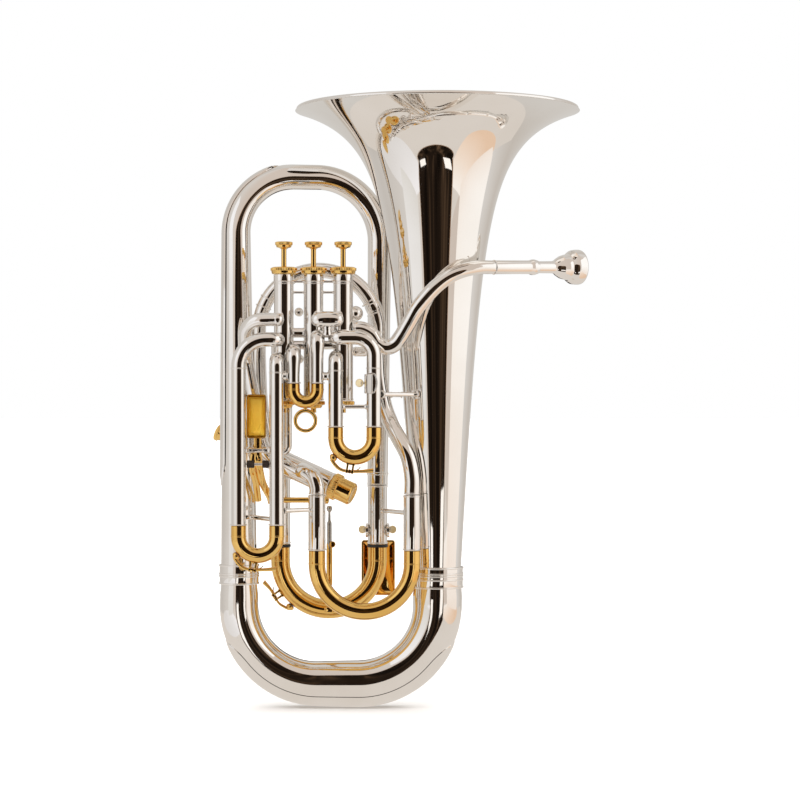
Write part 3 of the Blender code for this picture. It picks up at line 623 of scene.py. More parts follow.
def make_valve_slides():
    (left, right), crook = make_slide(
        1, SLIDE_1_X, SLIDE_1_BEND_Z, 0.3028, SLIDE_TUBE_R, (0.377, 0.398), (None, (0.0195, -0.0686))
    )
    inset = SLIDE_TUBE_R - 0.0003
    ends = [(x, FRONT_Y, 0.325) for x in (SLIDE_1_X[0] + inset, SLIDE_1_X[1] - inset)]
    brace = rod(*ends, 0.002, 0.0012)
    piece("slide_1_tubes_bent", left + right + [brace], SILVER, nodes=["slide_1_tubes"])
    piece("slide_1_crook", crook + key_bracket(CROOK_1, sum(KEY_TURNS) / 2), GOLD, "slide_1", ["slide_1"])

    tubes, crook = make_slide(
        2, SLIDE_2_X, SLIDE_2_BEND_Z, 0.3489, SLIDE_2_TUBE_R, (0.3838, 0.399), (None, None)
    )
    for side, shapes in zip(("left", "right"), tubes):
        piece(f"slide_2_tube_{side}_bent", shapes, SILVER, nodes=[f"slide_2_tube_{side}"])
    middle, wire, loop_z = sum(SLIDE_2_X) / 2, 0.002, 0.3102
    around = [-math.pi * i / 8 for i in range(16)]
    section = [(0.0107 + wire * math.cos(a), wire * math.sin(a)) for a in around]
    crook.append(turned(section, (middle, FRONT_Y, loop_z), Y_AXIS, 72, ring=True, ease=0))
    post = [(0, 0.0036), (0.0024, 0.0034), (0.0017, 0.0018), (0.0022, 0.0002), (0, 0)]
    crook.append(turned(post, (middle, FRONT_Y, loop_z + 0.011), segments=24))
    piece("slide_2_crook", crook, GOLD, "slide_2", ["slide_2"])

    tubes, crook = make_slide(
        3, SLIDE_3_X, SLIDE_3_BEND_Z, 0.1991, SLIDE_TUBE_R, (0.3959, 0.375), ((0.0285, -0.1296), None)
    )
    for side, shapes in zip(("left", "right"), tubes):
        piece(f"slide_3_tube_{side}_bent", shapes, SILVER, nodes=[f"slide_3_tube_{side}"])
    piece("slide_3_crook", crook + key_bracket(CROOK_3, sum(KEY_TURNS) / 2), GOLD, "slide_3", ["slide_3"])

    half, r, reach, fullness = 0.0083, 0.0088, 0.0171, 0.78
    profile = []
    for i in range(41):
        c, w = math.cos(math.pi * i / 40), math.sin(math.pi * i / 40)
        profile.append((r * max(w, 0.0) ** fullness, math.copysign(reach * abs(c) ** fullness, c)))
    profile[0], profile[-1] = (0, reach), (0, -reach)
    knuckle = Vector((-0.0768, -0.065, 0.417))
    shapes = [turned(profile, knuckle, X_AXIS, ease=0)]
    for x in (-half, half):
        shapes.append(sweep([knuckle + Vector((x, y, 0)) for y in (0.0, 0.0085)], 0.006, None, 32))
    neck = [(0.0052, 0.0), (0.004, -0.004), (0.0052, -0.01), (0.004, -0.01), (0.003, -0.004), (0.0042, 0.0)]
    shapes.append(turned(neck, knuckle - Z_AXIS * 0.0068, segments=36, ring=True, ease=0.001))
    piece("front_knuckle_ball", shapes, SILVER, nodes=["front_knuckle"])


# ---------------------------------------------------------------- valves
def make_valve(number, foot, axis, length, radius, cap_length, stem_length, at_top, cap_out):
    """One valve's caps, spring, piston and button. Returns its casing's shapes."""
    axis, foot = Vector(axis), Vector(foot)
    bore = radius - CASING_WALL
    piston_r = bore - 0.0004
    ring = radius + 0.0008
    sleeve = radius + 0.0005
    casing = [
        (sleeve, length), (sleeve, length - 0.008), (radius, length - 0.0086), (radius, 0.0),
        (bore, 0.0), (bore, length),
    ]
    shapes = [turned(casing, foot, axis, 72, ring=True)]
    beads = ((length - 0.0076, 0.0016, 0.0008), (length - 0.01, 0.001, 0.0004), (0.0012, 0.002, 0.0006))
    shapes += [bead(foot + axis * along, axis, radius, width, rise) for along, width, rise in beads]
    cap_r, cap = radius + cap_out, 0.0078
    top = [
        (STEM_R + 0.0006, length + cap), (cap_r - 0.002, length + cap),
        (cap_r - 0.0014, length + cap - 0.0006), (cap_r, length + cap - 0.001),
        (cap_r, length + cap - 0.0036), (cap_r - 0.0008, length + cap - 0.0041),
        (cap_r - 0.0012, length + 0.0016), (cap_r - 0.0018, length + GAP), (STEM_R + 0.0006, length + GAP),
    ]
    band = (44, 0.0004, length + cap - 0.0038, length + cap - 0.0008)
    knurled = turned(top, foot, axis, ring=True, flutes=band, ease=0.0003)
    piece(f"top_cap_{number}_knurled", [knurled], GOLD, nodes=[f"top_cap_{number}"])
    cup = radius - (0.0004 if number == 4 else 0.0012)
    low = -0.0078 if number == 4 else -0.0042
    bottom = [
        (0, -0.0024), (bore - 0.002, -0.0024), (bore - 0.002, -GAP), (ring, -GAP), (ring + at_top, -0.0012),
        (ring + at_top, low), (cup, low - 0.001), (cup, -cap_length + 0.0016), (cup - 0.0016, -cap_length),
        (0.0034, -cap_length - 0.0002), (0.0028, -cap_length - 0.0008), (0.003, -cap_length - 0.0048),
        (0, -cap_length - 0.0052),
    ]
    if number == 4:
        bottom[9:] = [(0.008, -cap_length), (0.0074, -cap_length + 0.0008), (0, -cap_length + 0.0012)]
    band = (36, 0.0004, low - 0.0002, -0.0011)
    knurled = turned(bottom, foot, axis, flutes=band, ease=0.0003)
    piece(f"bottom_cap_{number}_knurled", [knurled], GOLD, nodes=[f"bottom_cap_{number}"])
    piston_top, piston_foot = length - 0.004, length - 0.1 if length > 0.12 else 0.028
    button_z = length + cap + stem_length
    body = [
        (STEM_R, piston_top + 0.0002), (piston_r, piston_top), (piston_r, piston_foot),
        (piston_r * 0.55, piston_foot), (piston_r * 0.55, piston_foot + 0.003),
        (piston_r - CASING_WALL, piston_foot + 0.003), (piston_r - CASING_WALL, piston_top - 0.003),
        (STEM_R, piston_top - 0.003),
    ]
    name = f"piston_{number}"
    piece(name + "_body", [turned(body, foot, axis, 56, ring=True)], STEEL, name, [name])
    stem = [
        (0, button_z + 0.0056), (BUTTON_R * 0.74, button_z + 0.0059), (BUTTON_R * 0.84, button_z + 0.0066),
        (BUTTON_R, button_z + 0.006), (BUTTON_R, button_z + 0.0032), (BUTTON_R * 0.9, button_z + 0.0027),
        (BUTTON_R * 0.84, button_z + 0.0006), (BUTTON_R * 0.5, button_z - 0.0002),
        (STEM_R, button_z - 0.0016), (STEM_R, piston_top - 0.0028), (0, piston_top - 0.0028),
    ]
    band = (36, 0.0003, button_z + 0.003, button_z + 0.0061)
    piece(f"finger_button_{number}", [turned(stem, foot, axis, flutes=band, ease=0.0003)], GOLD, name)
    turns, low, high = 7, 0.0014, piston_foot - 0.0014
    spin = axis.to_track_quat("Z", "Y")
    coil, coil_r = [], piston_r * 0.72
    for i in range(turns * 20 + 1):
        a = 2 * math.pi * i / 20
        rise = low + (high - low) * i / (turns * 20)
        coil.append(foot + spin @ Vector((coil_r * math.cos(a), coil_r * math.sin(a), rise)))
    coil = sweep(coil, 0.0005, None, 8)
    spring = piece(f"return_spring_{number}", [coil], STEEL, nodes=[f"spring_{number}"])
    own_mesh(spring)
    return shapes


# height, radius and flange of each link between two casings
PORTS = (
    (0.3905, 0.0046, 0.0012),
    (0.4035, 0.0052, 0.001),
    (0.4465, 0.0013, 0.002),
    (0.458, 0.0014, 0.0018),
)


def make_valves():
    length = CASING_Z[1] - CASING_Z[0]
    shapes = []
    for i, x in enumerate(VALVE_X):
        foot = (x, VALVE_Y, CASING_Z[0])
        shapes += make_valve(i + 1, foot, Z_AXIS, length, CASING_R, 0.008, 0.0205, 0.001, 0.0038)
    for i in range(2):
        middle = (VALVE_X[i] + VALVE_X[i + 1]) / 2
        half = (VALVE_X[0] - VALVE_X[1]) / 2 - CASING_R + CASING_WALL
        for height, radius, flange in PORTS:
            ends = [(middle + side * half, VALVE_Y, height) for side in (-1, 1)]
            shapes.append(rod(*ends, radius, flange, 0.0009))
    for x, z, r in ((-0.0475, 0.4245, 0.008), (-0.108, 0.426, 0.0048), (-0.108, 0.376, 0.0052)):
        shapes.append(knob((x, VALVE_Y + 0.012, z), r))
    piece("valve_casings", shapes, SILVER, nodes=["valve_block"])
    casing = make_valve(4, FOURTH_FOOT, FOURTH_AXIS, FOURTH_LENGTH, FOURTH_R, 0.0255, 0.0468, 0.0009, 0.0018)
    piece("casing_4_tube", casing, SILVER, nodes=["casing_4"])


def knob(at, radius):
    """The rounded end of a port that turns in behind the casings."""
    turns = [math.pi * i / 14 for i in range(15)]
    return turned([(radius * math.sin(t), -radius * math.cos(t)) for t in turns], at, Y_AXIS, 36, ease=0)


# ---------------------------------------------------------------- inner tubing
def make_inner_tubing():
    middle, span = (ARCH_X[0] + ARCH_X[1]) / 2, (ARCH_X[1] - ARCH_X[0]) / 2
    path = smooth([(-0.144, 0.004, 0.2905), (-0.15, -0.004, 0.33), (ARCH_X[0], ARCH_Y, 0.38)], 6)
    for i in range(41):
        turn = math.pi * i / 40
        path.append(Vector((middle - span * math.cos(turn), ARCH_Y, ARCH_SPRING_Z + span * math.sin(turn))))
    path.append(Vector((ARCH_X[1], ARCH_Y, 0.386)))
    path = filled(path)
    shapes = [sweep(path, taper(path, 0.0073, 0.0073, 0.0078, 0.0084, ARCH_R), TUBE_WALL)]
    for z, width, rise in ((0.438, 0.0016, 0.0006), (0.432, 0.009, 0.0004), (0.4255, 0.0016, 0.0006)):
        i = max(k for k in range(len(path)) if path[k].z > z - 0.0008)
        shapes.append(bead((path[i].x, path[i].y, z), path[i] - path[i - 1], ARCH_R, width, rise))
    for z in (0.439, 0.43):
        i = min(k for k in range(len(path)) if path[k].z > z)
        shapes.append(bead(path[i], path[i] - path[i - 1], 0.0081, 0.0016, 0.0006))
    for z in (0.405, 0.3875):
        shapes.append(bead((ARCH_X[1], ARCH_Y, z), Z_AXIS, ARCH_R, 0.0016, 0.0006))
    piece("inner_arch_tube", shapes, SILVER, nodes=["inner_arch"])
    right, depth = FOURTH_SLIDE_X[1], FOURTH_SLIDE_Y
    goose = [
        (ARCH_X[1], ARCH_Y, 0.3852), (-0.0222, -0.008, 0.355), (-0.0172, -0.01, 0.3267),
        (-0.01, -0.016, 0.307), (-0.001, -0.023, 0.2905), (0.0085, -0.0295, 0.272),
        (right, depth, 0.25), (right, depth, 0.2312),
    ]
    ring = bead((right, depth, 0.2322), Z_AXIS, ARCH_R, 0.0018, 0.0006)
    piece("gooseneck_tube", [sweep(smooth(goose), ARCH_R, TUBE_WALL), ring], SILVER, nodes=["gooseneck"])
    left = FOURTH_SLIDE_X[0]
    elbow = [(left, depth, 0.2312), (left, depth, 0.239), (-0.0925, -0.03, 0.249), (-0.101, -0.0235, 0.255)]
    elbow = smooth([*elbow, (-0.106, -0.018, 0.2565)])
    ring = bead((left, depth, 0.2322), Z_AXIS, 0.0085, 0.0018, 0.0006)
    piece("fourth_elbow_tube", [sweep(elbow, 0.0085, TUBE_WALL), ring], SILVER, nodes=["fourth_elbow"])
    for side, x in zip(("left", "right"), FOURTH_SLIDE_X):
        shapes = [pipe((x, depth, 0), FOURTH_TUBE_R, FOURTH_TUBE_R - TUBE_WALL, 0.1712, 0.2305)]
        shapes.append(bead((x, depth, 0.1722), Z_AXIS, FOURTH_TUBE_R, 0.0014, 0.0008))
        shapes.append(bead((x, depth, 0.2292), Z_AXIS, FOURTH_TUBE_R, 0.0016, 0.0005))
        piece(f"slide_4_tube_{side}_straight", shapes, SILVER, nodes=[f"slide_4_tube_{side}"])
    path = u_path(FOURTH_SLIDE_X, depth, FOURTH_SLIDE_BEND_Z, (0.227, 0.227))
    crook = [sliding_u(path, 0.1707, FOURTH_TUBE_R - 0.0014, FOURTH_TUBE_R - 0.0003)]
    crook += crook_beads(FOURTH_SLIDE_X, depth, FOURTH_SLIDE_BEND_Z, FOURTH_TUBE_R - 0.0003)
    piece("slide_4_crook", crook, GOLD, "slide_4", ["slide_4"])
    corners = [(-0.1296, -0.064, 0.417), (-0.164, -0.06, 0.417)]
    corners += [(-0.164, -0.029, 0.375), (-0.156, -0.018, 0.33), (-0.15, -0.013, 0.299)]
    path = bent(corners, (0.02, 0.03, 0.03))
    end = Vector(corners[0])
    shapes = [sweep(path, 0.007, TUBE_WALL), knob(end, 0.0072)]
    shapes.append(sweep([end, end + Vector((0, 0.0085, 0))], 0.0062, None, 32))
    piece("third_to_fourth_bent", shapes, SILVER, nodes=["third_to_fourth_tube"])
    make_hidden_tubing()


def make_hidden_tubing():
    """Ports into the fourth valve, the small compensating loop and the elbow behind the first valve."""
    third = [(-0.1508, -0.0138, 0.303), (-0.1496, -0.0125, 0.29), (-0.145, -0.0115, 0.277)]
    third += [(-0.1375, -0.0085, 0.27), (-0.1342, 0.0024, 0.2681)]
    arch_end = [(-0.1446, 0.0032, 0.2945), (-0.143, 0.0054, 0.287), (-0.1395, 0.0095, 0.28)]
    main = [(MAIN_X[0], REAR_Y, 0.243), (MAIN_X[0], 0.0328, 0.249)]
    main += [(-0.1295, 0.029, 0.2545), (-0.1266, 0.022, 0.2582)]
    ports = ((third, 0.0071), (arch_end, 0.0074), (main, 0.0099))
    shapes = [sweep(smooth(path, 6), r) for path, r in ports]
    shapes += [bead(path[-1], Vector(path[-1]) - Vector(path[-2]), r, 0.003, 0.0012) for path, r in ports]
    for path, r in ports[:2]:
        shapes.append(bead(path[1], Vector(path[2]) - Vector(path[0]), r, 0.0016, 0.0007))
    piece("fourth_valve_ports", shapes, SILVER)
    loop_x, loop_y = (-0.1335, -0.1205), -0.0205
    loop = u_path(loop_x, loop_y, 0.283, (0.39, 0.39))
    start, end = Vector((-0.0475, -0.0285, 0.3839)), Vector((-0.0385, -0.0265, 0.3839))
    shapes = [sweep(loop, 0.0046), sweep([start, end], 0.0052, None, 32)]
    shapes += [knob(start, 0.0052), knob(end, 0.0052)]
    shapes += [bead((x, loop_y, 0.296), Z_AXIS, 0.0046, 0.0014, 0.0006) for x in loop_x]
    shapes.append(sweep([end, Vector((-0.029, -0.012, 0.387))], 0.0046, None, 32))
    piece("compensating_loop", shapes, SILVER)


# ---------------------------------------------------------------- leadpipe and mouthpiece
def make_leadpipe():
    foot = RECEIVER_END - PIPE_DIRECTION * RECEIVER_LENGTH
    route = [
        (-0.0492, -0.045, 0.4075), (-0.04, -0.045, 0.4073), (-0.03, -0.045, 0.4015),
        (-0.024, -0.045, 0.3925), (-0.015, -0.0455, 0.388), (-0.006, -0.0465, 0.391),
        (0.0015, -0.049, 0.4005), (0.0085, -0.052, 0.4126), (0.0169, -0.056, 0.4273),
        (0.0275, -0.058, 0.441), (0.0391, -0.059, 0.4531), (0.0529, -0.0588, 0.4632),
        (0.0689, -0.0575, 0.4696), (0.084, -0.0526, 0.4727),
    ]
    path = smooth([*route, *(foot - PIPE_DIRECTION * away for away in (0.0045, 0.0006))], 5)
    shapes = [sweep(path, taper(path, 0.0082, 0.008, 0.0072), TUBE_WALL)]
    flange = [(0, -0.0014), (0.009, -0.0014), (0.0096, 0.0002), (0.009, 0.002), (0, 0.002)]
    shapes.append(turned(flange, route[0], X_AXIS, 40))
    piece("leadpipe_tube", shapes, SILVER, nodes=["leadpipe"])
    length = RECEIVER_LENGTH
    sleeve = [
        (0.0073, length), (0.0076, length - 0.0012), (0.0084, length - 0.004), (0.0084, length - 0.0066),
        (0.0075, length - 0.01), (0.0073, length - 0.0112), (0.0073, 0.0), (0.0066, 0.0),
        (0.0066, length - 0.026), (0.0071, length),
    ]
    shapes = [turned(sleeve, foot, PIPE_DIRECTION, ring=True)]
    shapes.append(bead(foot + PIPE_DIRECTION * 0.001, PIPE_DIRECTION, 0.0073, 0.0016, 0.0006))
    piece("mouthpiece_receiver_sleeve", shapes, SILVER, nodes=["mouthpiece_receiver"])
    rim = 0.019
    outer = [
        (0.0132, 0.0536), (0.0145, 0.0552), (0.0165, 0.0556), (0.0184, 0.0548), (rim, 0.053),
        (rim, 0.049), (0.0184, 0.0444), (0.016, 0.0408), (0.0141, 0.0392), (0.0138, 0.036),
        (0.0122, 0.03), (0.0094, 0.025), (0.0074, 0.0222), (0.0066, 0.0196), (0.0064, 0.001),
        (0.006, -0.02), (0.0045, -0.02), (0.0032, 0.022), (0.006, 0.03), (0.011, 0.04),
        (0.0128, 0.049),
    ]
    shapes = [turned(outer, RECEIVER_END, PIPE_DIRECTION, 96, ring=True, ease=0.0012)]
    shapes.append(bead(RECEIVER_END + PIPE_DIRECTION * 0.0232, PIPE_DIRECTION, 0.0072, 0.0018, 0.0007))
    piece("mouthpiece_cup", shapes, SILVER, "mouthpiece", ["mouthpiece"])


# ---------------------------------------------------------------- braces, plate and screws
def make_fittings():
    brace = rod((-0.0102, -0.0085, 0.3375), (0.0026, -0.0085, 0.3375), 0.0024, 0.0012)
    piece("bell_brace_rod", [brace], SILVER, nodes=["bell_brace"])
    braces = [
        rod((-0.018, 0.025, 0.2112), (0.0075, -0.0255, 0.2112), 0.0024, 0.0014),
        rod((-0.1235, -0.059, 0.2148), (-0.0955, -0.035, 0.2148), 0.0024, 0.0014),
        rod((-0.1245, -0.064, 0.3572), (-0.1178, -0.0645, 0.3572), 0.0042, 0.0008, 0.0008),
        rod((-0.0818, -0.0645, 0.3572), (-0.075, -0.0645, 0.3572), 0.0042, 0.0008, 0.0008),
        rod((-0.134, -0.06, 0.2058), (-0.1605, -0.006, 0.2058), 0.0026, 0.0014),
    ]
    start, end = Vector((-0.0199, -0.0605, 0.338)), Vector((0.0172, -0.0296, 0.338))
    braces.append(rod(start, end, 0.0023, 0.0014))
    braces.append(rod(start, start + (end - start) * 0.05, 0.0042, 0.0))
    braces.append(rod(end - (end - start) * 0.06, end, 0.0052, 0.0))
    piece("tube_braces", braces, SILVER)
    levels = [
        (0.0036, -0.0011), (0.0008, -0.0011), (0.0, -0.0006), (0.0, 0.0013), (0.0005, 0.0018),
        (0.0018, 0.0018), (0.0024, 0.0012), (0.0085, -0.0006), (0.0115, -0.0006),
    ]
    plate = tray(0.0369, 0.0607, 0.003, levels, (-0.024, 0.0485, 0.1475))
    tab = slab((0.015, 0.0052, 0.006), (-0.024, 0.0458, 0.1785), ease=0.001)
    piece("hand_plate_tray", [plate, tab], GOLD, nodes=["hand_plate"])
    screws, posts = [], []
    for x, side in ((MAIN_X[1] - 0.0165, 1), (MAIN_X[1] + 0.0165, -1)):
        head = Vector((x, REAR_Y - 0.004, 0.1905))
        screws.append(thumb_head(head, (-side * 0.5, -1, 0)))
        inward = X_AXIS * side
        posts.append(rod(head + inward * 0.0014, head + inward * 0.0068, 0.0014, 0.0022, 0.001))
        posts.append(disc((MAIN_X[1] - side * 0.0115, REAR_Y - 0.001, 0.1895), X_AXIS, 0.0076, 0.0016))
    head = Vector((-0.0427, FRONT_Y - 0.002, 0.35))
    screws.append(thumb_head(head, (-0.5, -1, 0)))
    posts.append(rod(head + X_AXIS * 0.0014, head + X_AXIS * 0.0086, 0.0014, 0.002, 0.001))
    plate = Vector((-0.0333, FRONT_Y - 0.0059, 0.3491))
    posts.append(slab((0.0105, 0.002, 0.0205), plate, (0, 0, math.radians(-43)), 0.0008))
    turns = ((0.009, 0.01), (0.016, 0.009), (0.0185, 0.0), (0.016, -0.009), (0.011, -0.011))
    lyre = [head + Vector((x, -0.0062, z)) for x, z in turns]
    posts.append(sweep(smooth(lyre), 0.0008, None, 12))
    piece("thumb_screw_heads", screws, PALE_GOLD)
    piece("thumb_screw_posts", posts, SILVER)


def thumb_head(at, axis):
    """A small knurled screw head."""
    half = [(0, 0.0014), (0.0036, 0.0016), (0.0044, 0.0009)]
    profile = half + [(radius, -height) for radius, height in reversed(half)]
    return turned(profile, at, Vector(axis), flutes=(20, 0.0004, -0.001, 0.001), ease=0.0003)


# ---------------------------------------------------------------- tuning slide trigger
def make_trigger():
    levels = [
        (0.0036, -0.007), (0.001, -0.007), (0.0, -0.006), (0.0, 0.0062), (0.0004, 0.0068),
        (0.001, 0.0068), (0.0014, 0.006), (0.0018, -0.0052), (0.003, -0.0056),
    ]
    saddle = Vector((-0.1525, -0.047, 0.3148))
    shapes = [tray(0.0205, 0.0465, 0.0028, levels, saddle)]
    tilt = Matrix.Rotation(math.radians(-8), 3, "X")
    fold = [(0.0, -0.001), (0.0, 0.0), (0.003, 0.0022), (0.005, 0.0018), (0.0066, 0.0018)]
    lining = tray(0.0168, 0.0416, 0.0012, fold, saddle + Y_AXIS * 0.0012, X_AXIS, tilt @ Z_AXIS)
    piece("trigger_saddle_lining", [lining], BRUSHED_GOLD, "trigger")
    barrel = [(0, 0.0115), (0.0036, 0.0115), (0.0036, 0.006), (0.003, 0.0055)]
    barrel += [(0.003, -0.0055), (0.0036, -0.006), (0.0036, -0.0115), (0, -0.0115)]
    piece("trigger_axle", [turned(barrel, PIVOT, X_AXIS, 40)], SILVER, "trigger")
    arm = [(0, 0, 0.015), (0, 0, 0), (0.001, 0.004, -0.015), (0.004, 0.02, -0.035)]
    arm = [PIVOT + Vector(v) for v in arm]
    arm.append((SHAFT_X[0] + 0.002, SHAFT_Y - 0.014, SHAFT_Z + 0.0055))
    arm.append((SHAFT_X[0] + 0.003, SHAFT_Y, SHAFT_Z))
    shapes.append(sweep(smooth(arm), 0.004, None, 28, (Y_AXIS, 0.5)))
    strip = [(-0.004, 0.001, -0.004), (-0.006, 0.006, -0.02), (-0.003, 0.018, -0.036)]
    strip = [PIVOT + Vector(v) for v in (*strip, (-0.001, 0.028, -0.0545))]
    shapes.append(sweep(smooth(strip), 0.0036, None, 28, (Y_AXIS, 0.4)))
    length = SHAFT_X[1] - SHAFT_X[0]
    shaft = [(0, 0), (0.0044, 0), (0.0044, 0.0045), (0.003, 0.0052), (0.003, length - 0.007)]
    shaft += [(0.0042, length - 0.0062), (0.0042, length - 0.0012), (0, length)]
    shapes.append(turned(shaft, (SHAFT_X[0], SHAFT_Y, SHAFT_Z), X_AXIS, 40))
    piece("trigger_lever_gold", shapes, GOLD, "trigger", ["trigger_lever"])
    for side, sign in (("left", -1), ("right", 1)):
        at = Vector((PIVOT.x + sign * LUG_ASIDE, PIVOT.y - 0.004, PIVOT.z))
        lug = [slab((0.0026, 0.015, 0.009), at, ease=0.001)]
        lug.append(knob_screw(at + Vector((sign * 0.0016, 0.004, 0)), sign))
        piece(f"pivot_lug_{side}_post", lug, SILVER, nodes=[f"pivot_lug_{side}"])
    top, foot = Vector((SHAFT_X[1], SHAFT_Y, SHAFT_Z - 0.0062)), Vector((SHAFT_X[1], 0.017, 0.1082))
    run = foot - top
    length = run.length
    rod_profile = [
        (0, 0), (0.0024, 0.0004), (0.0032, 0.0024), (0.0032, 0.004), (0.0022, 0.006), (0.0012, 0.0068),
        (0.0015, length * 0.15), (0.0026, length * 0.17), (0.0026, length), (0, length),
    ]
    piece("push_rod_turned", [turned(rod_profile, top, run, 32)], STEEL, "push_rod", ["push_rod"])
    fork = top + run * 0.585
    lean = math.atan2(-run.y, -run.z)
    shapes = [slab((0.0064, 0.007, length * 0.44), fork, (lean, 0, 0), 0.0024)]
    screw_head = top + run * 0.385 + Vector((0.0034, -0.002, 0))
    cheese = [(0, 0.0026), (0.003, 0.0026), (0.0034, 0.0018), (0.0034, 0), (0, 0)]
    shapes.append(turned(cheese, screw_head, -Y_AXIS, 28))
    piece("push_rod_clevis", shapes, GOLD, "push_rod")
    roller = Vector((-0.1525, -0.051, 0.264))
    sides = ((-0.006, 0.004), (0.01, 0.0035))
    felts = [disc(roller + X_AXIS * aside, X_AXIS, 0.004, half, 32, 0.001) for aside, half in sides]
    piece("trigger_stop_felt", felts, FELT)
    leg_y = FRONT_Y + 0.0062
    wire = [(SLIDE_3_X[0] + 0.003, leg_y), (-0.1658, roller.y), (-0.1388, roller.y)]
    wire.append((SLIDE_3_X[1] - 0.003, leg_y))
    supports = [sweep(bent([(x, y, roller.z) for x, y in wire], (0.003, 0.003), 6), 0.0016, None, 20)]
    for sign, x in ((-1, SLIDE_3_X[0]), (1, SLIDE_3_X[1])):
        lug_end = PIVOT + Vector((sign * LUG_ASIDE, -0.0095, 0))
        supports.append(rod(lug_end, Vector((x - sign * 0.002, FRONT_Y + 0.0066, PIVOT.z)), 0.0026, 0.0012))
    piece("trigger_supports", supports, SILVER)


def knob_screw(at, sign):
    """A low screw head on a lug."""
    return turned([(0, 0.001), (0.0026, 0.0008), (0.003, 0), (0, 0)], at, X_AXIS * sign, 24, ease=0.0003)


# ---------------------------------------------------------------- water keys
def crook_of(xs, y, bend_z, radius):
    """A crook's centre, bend radius and tube radius."""
    return Vector(((xs[0] + xs[1]) / 2, y, bend_z)), (xs[1] - xs[0]) / 2, radius


CROOK_1 = crook_of(SLIDE_1_X, FRONT_Y, SLIDE_1_BEND_Z, SLIDE_TUBE_R - STEP_CROOK)
CROOK_3 = crook_of(SLIDE_3_X, FRONT_Y, SLIDE_3_BEND_Z, SLIDE_TUBE_R - STEP_CROOK)
MAIN_CROOK = crook_of(MAIN_X, REAR_Y, MAIN_BEND_Z, MAIN_CROOK_R)


def crook_normal(turn):
    """The direction out of a crook at an angle from straight down."""
    return Vector((math.sin(turn), 0, -math.cos(turn)))


def off_crook(crook, turn, out, aside=0.0):
    """The point that is out from a crook's outer surface, at an angle from straight down."""
    centre, bend, radius = crook
    return centre + crook_normal(turn) * (bend + radius + out) + Y_AXIS * aside


def key_bracket(crook, turn):
    """Two cheeks and a pin that a water key's lever turns on, and the spring's foot."""
    shapes = []
    for aside in (-0.0033, 0.0033):
        for along in (-0.003, 0.003):
            at = off_crook(crook, turn, 0.004, aside) + crook_normal(turn + math.pi / 2) * along
            shapes.append(slab((0.0022, 0.0014, 0.0122), at, (0, -turn, 0), 0.0005))
        at = off_crook(crook, turn, KEY_PIVOT_OUT, aside)
        shapes.append(slab((0.009, 0.0014, 0.003), at, (0, -turn, 0), 0.0005))
        at = off_crook(crook, turn, KEY_PIVOT_OUT, aside * 1.25)
        pin_end = [(0, 0.0007), (0.0016, 0.0005), (0.0018, 0), (0, 0)]
        shapes.append(turned(pin_end, at, Y_AXIS * aside, 20, ease=0))
    ends = [off_crook(crook, turn, KEY_PIVOT_OUT, aside) for aside in (-0.0038, 0.0038)]
    shapes.append(sweep(ends, 0.0009, None, 16))
    shapes.append(slab((0.0096, 0.008, 0.0024), off_crook(crook, turn, -0.0002), (0, -turn, 0), 0.0006))
    return shapes


def make_water_key(number, crook, pad_turn, tail_turn, body):
    """A curved lever with its pad cup, cork and finger tail, and the wire spring beside it."""
    name = f"water_key_{number}"
    sweep_turn = tail_turn - pad_turn
    outs = ((0.0, 0.0056), (0.14, 0.0072), (0.3, 0.0086), (0.5, KEY_PIVOT_OUT), (0.75, KEY_PIVOT_OUT))
    mid = [off_crook(crook, pad_turn + sweep_turn * share, out) for share, out in outs]
    mid.append(off_crook(crook, tail_turn, KEY_PIVOT_OUT + 0.0038))
    path = smooth(mid, 6)
    radii = taper(path, 0.0019, 0.002, 0.0022, 0.0026, 0.0036)
    shapes = [sweep(path, radii, None, 24, (crook_normal(tail_turn), 0.6))]
    pad = off_crook(crook, pad_turn, 0.0)
    out_way = off_crook(crook, pad_turn, 1.0) - pad
    cup = [
        (0, 0.0012), (0.0036, 0.0012), (0.0043, 0.0016), (0.0043, 0.0042), (0.003, 0.0052),
        (0.0014, 0.0066), (0, 0.0066),
    ]
    shapes.append(turned(cup, pad, out_way, 36, ease=0.0003))
    middle_turn = (pad_turn + tail_turn) / 2
    coil = []
    for i in range(49):
        a = 2 * math.pi * i / 16
        spot = off_crook(crook, middle_turn, KEY_PIVOT_OUT, -0.0024 + 0.0001 * i)
        coil.append(spot + X_AXIS * 0.0018 * math.cos(a) + Z_AXIS * 0.0018 * math.sin(a))
    springs = [sweep(coil, 0.0005, None, 10)]
    outs = ((0.02, 0.0066), (0.16, 0.0062), (0.26, 0.0036))
    wire = [off_crook(crook, middle_turn + sweep_turn * share, out) for share, out in outs]
    springs.append(sweep(smooth(wire), 0.0006, None, 10))
    piece(f"{name}_gold", shapes, GOLD, body, [f"{name}_lever"])
    piece(f"{name}_spring_wire", springs, SILVER, body)
    cork = [(0, 0.0003), (0.0034, 0.0003), (0.0034, 0.0014), (0, 0.0014)]
    cork = turned(cork, pad, out_way, 28, ease=0.0003)
    piece(f"{name}_cork", [cork], CORK, body)


def make_water_keys():
    make_water_key("1", CROOK_1, *KEY_TURNS, "key_1")
    make_water_key("3", CROOK_3, *KEY_TURNS, "key_3")
    make_water_key("main", MAIN_CROOK, *MAIN_KEY_TURNS, "key_main")


# ---------------------------------------------------------------- studio
def staged(name, corners, material):
    """A flat stage piece through corners."""
    mesh = bpy.data.meshes.new(name)
    mesh.from_pydata(corners, [], [tuple(range(len(corners)))])
    mesh.materials.append(material)
    obj = bpy.data.objects.new(name, mesh)
    bpy.context.scene.collection.objects.link(obj)
    return obj


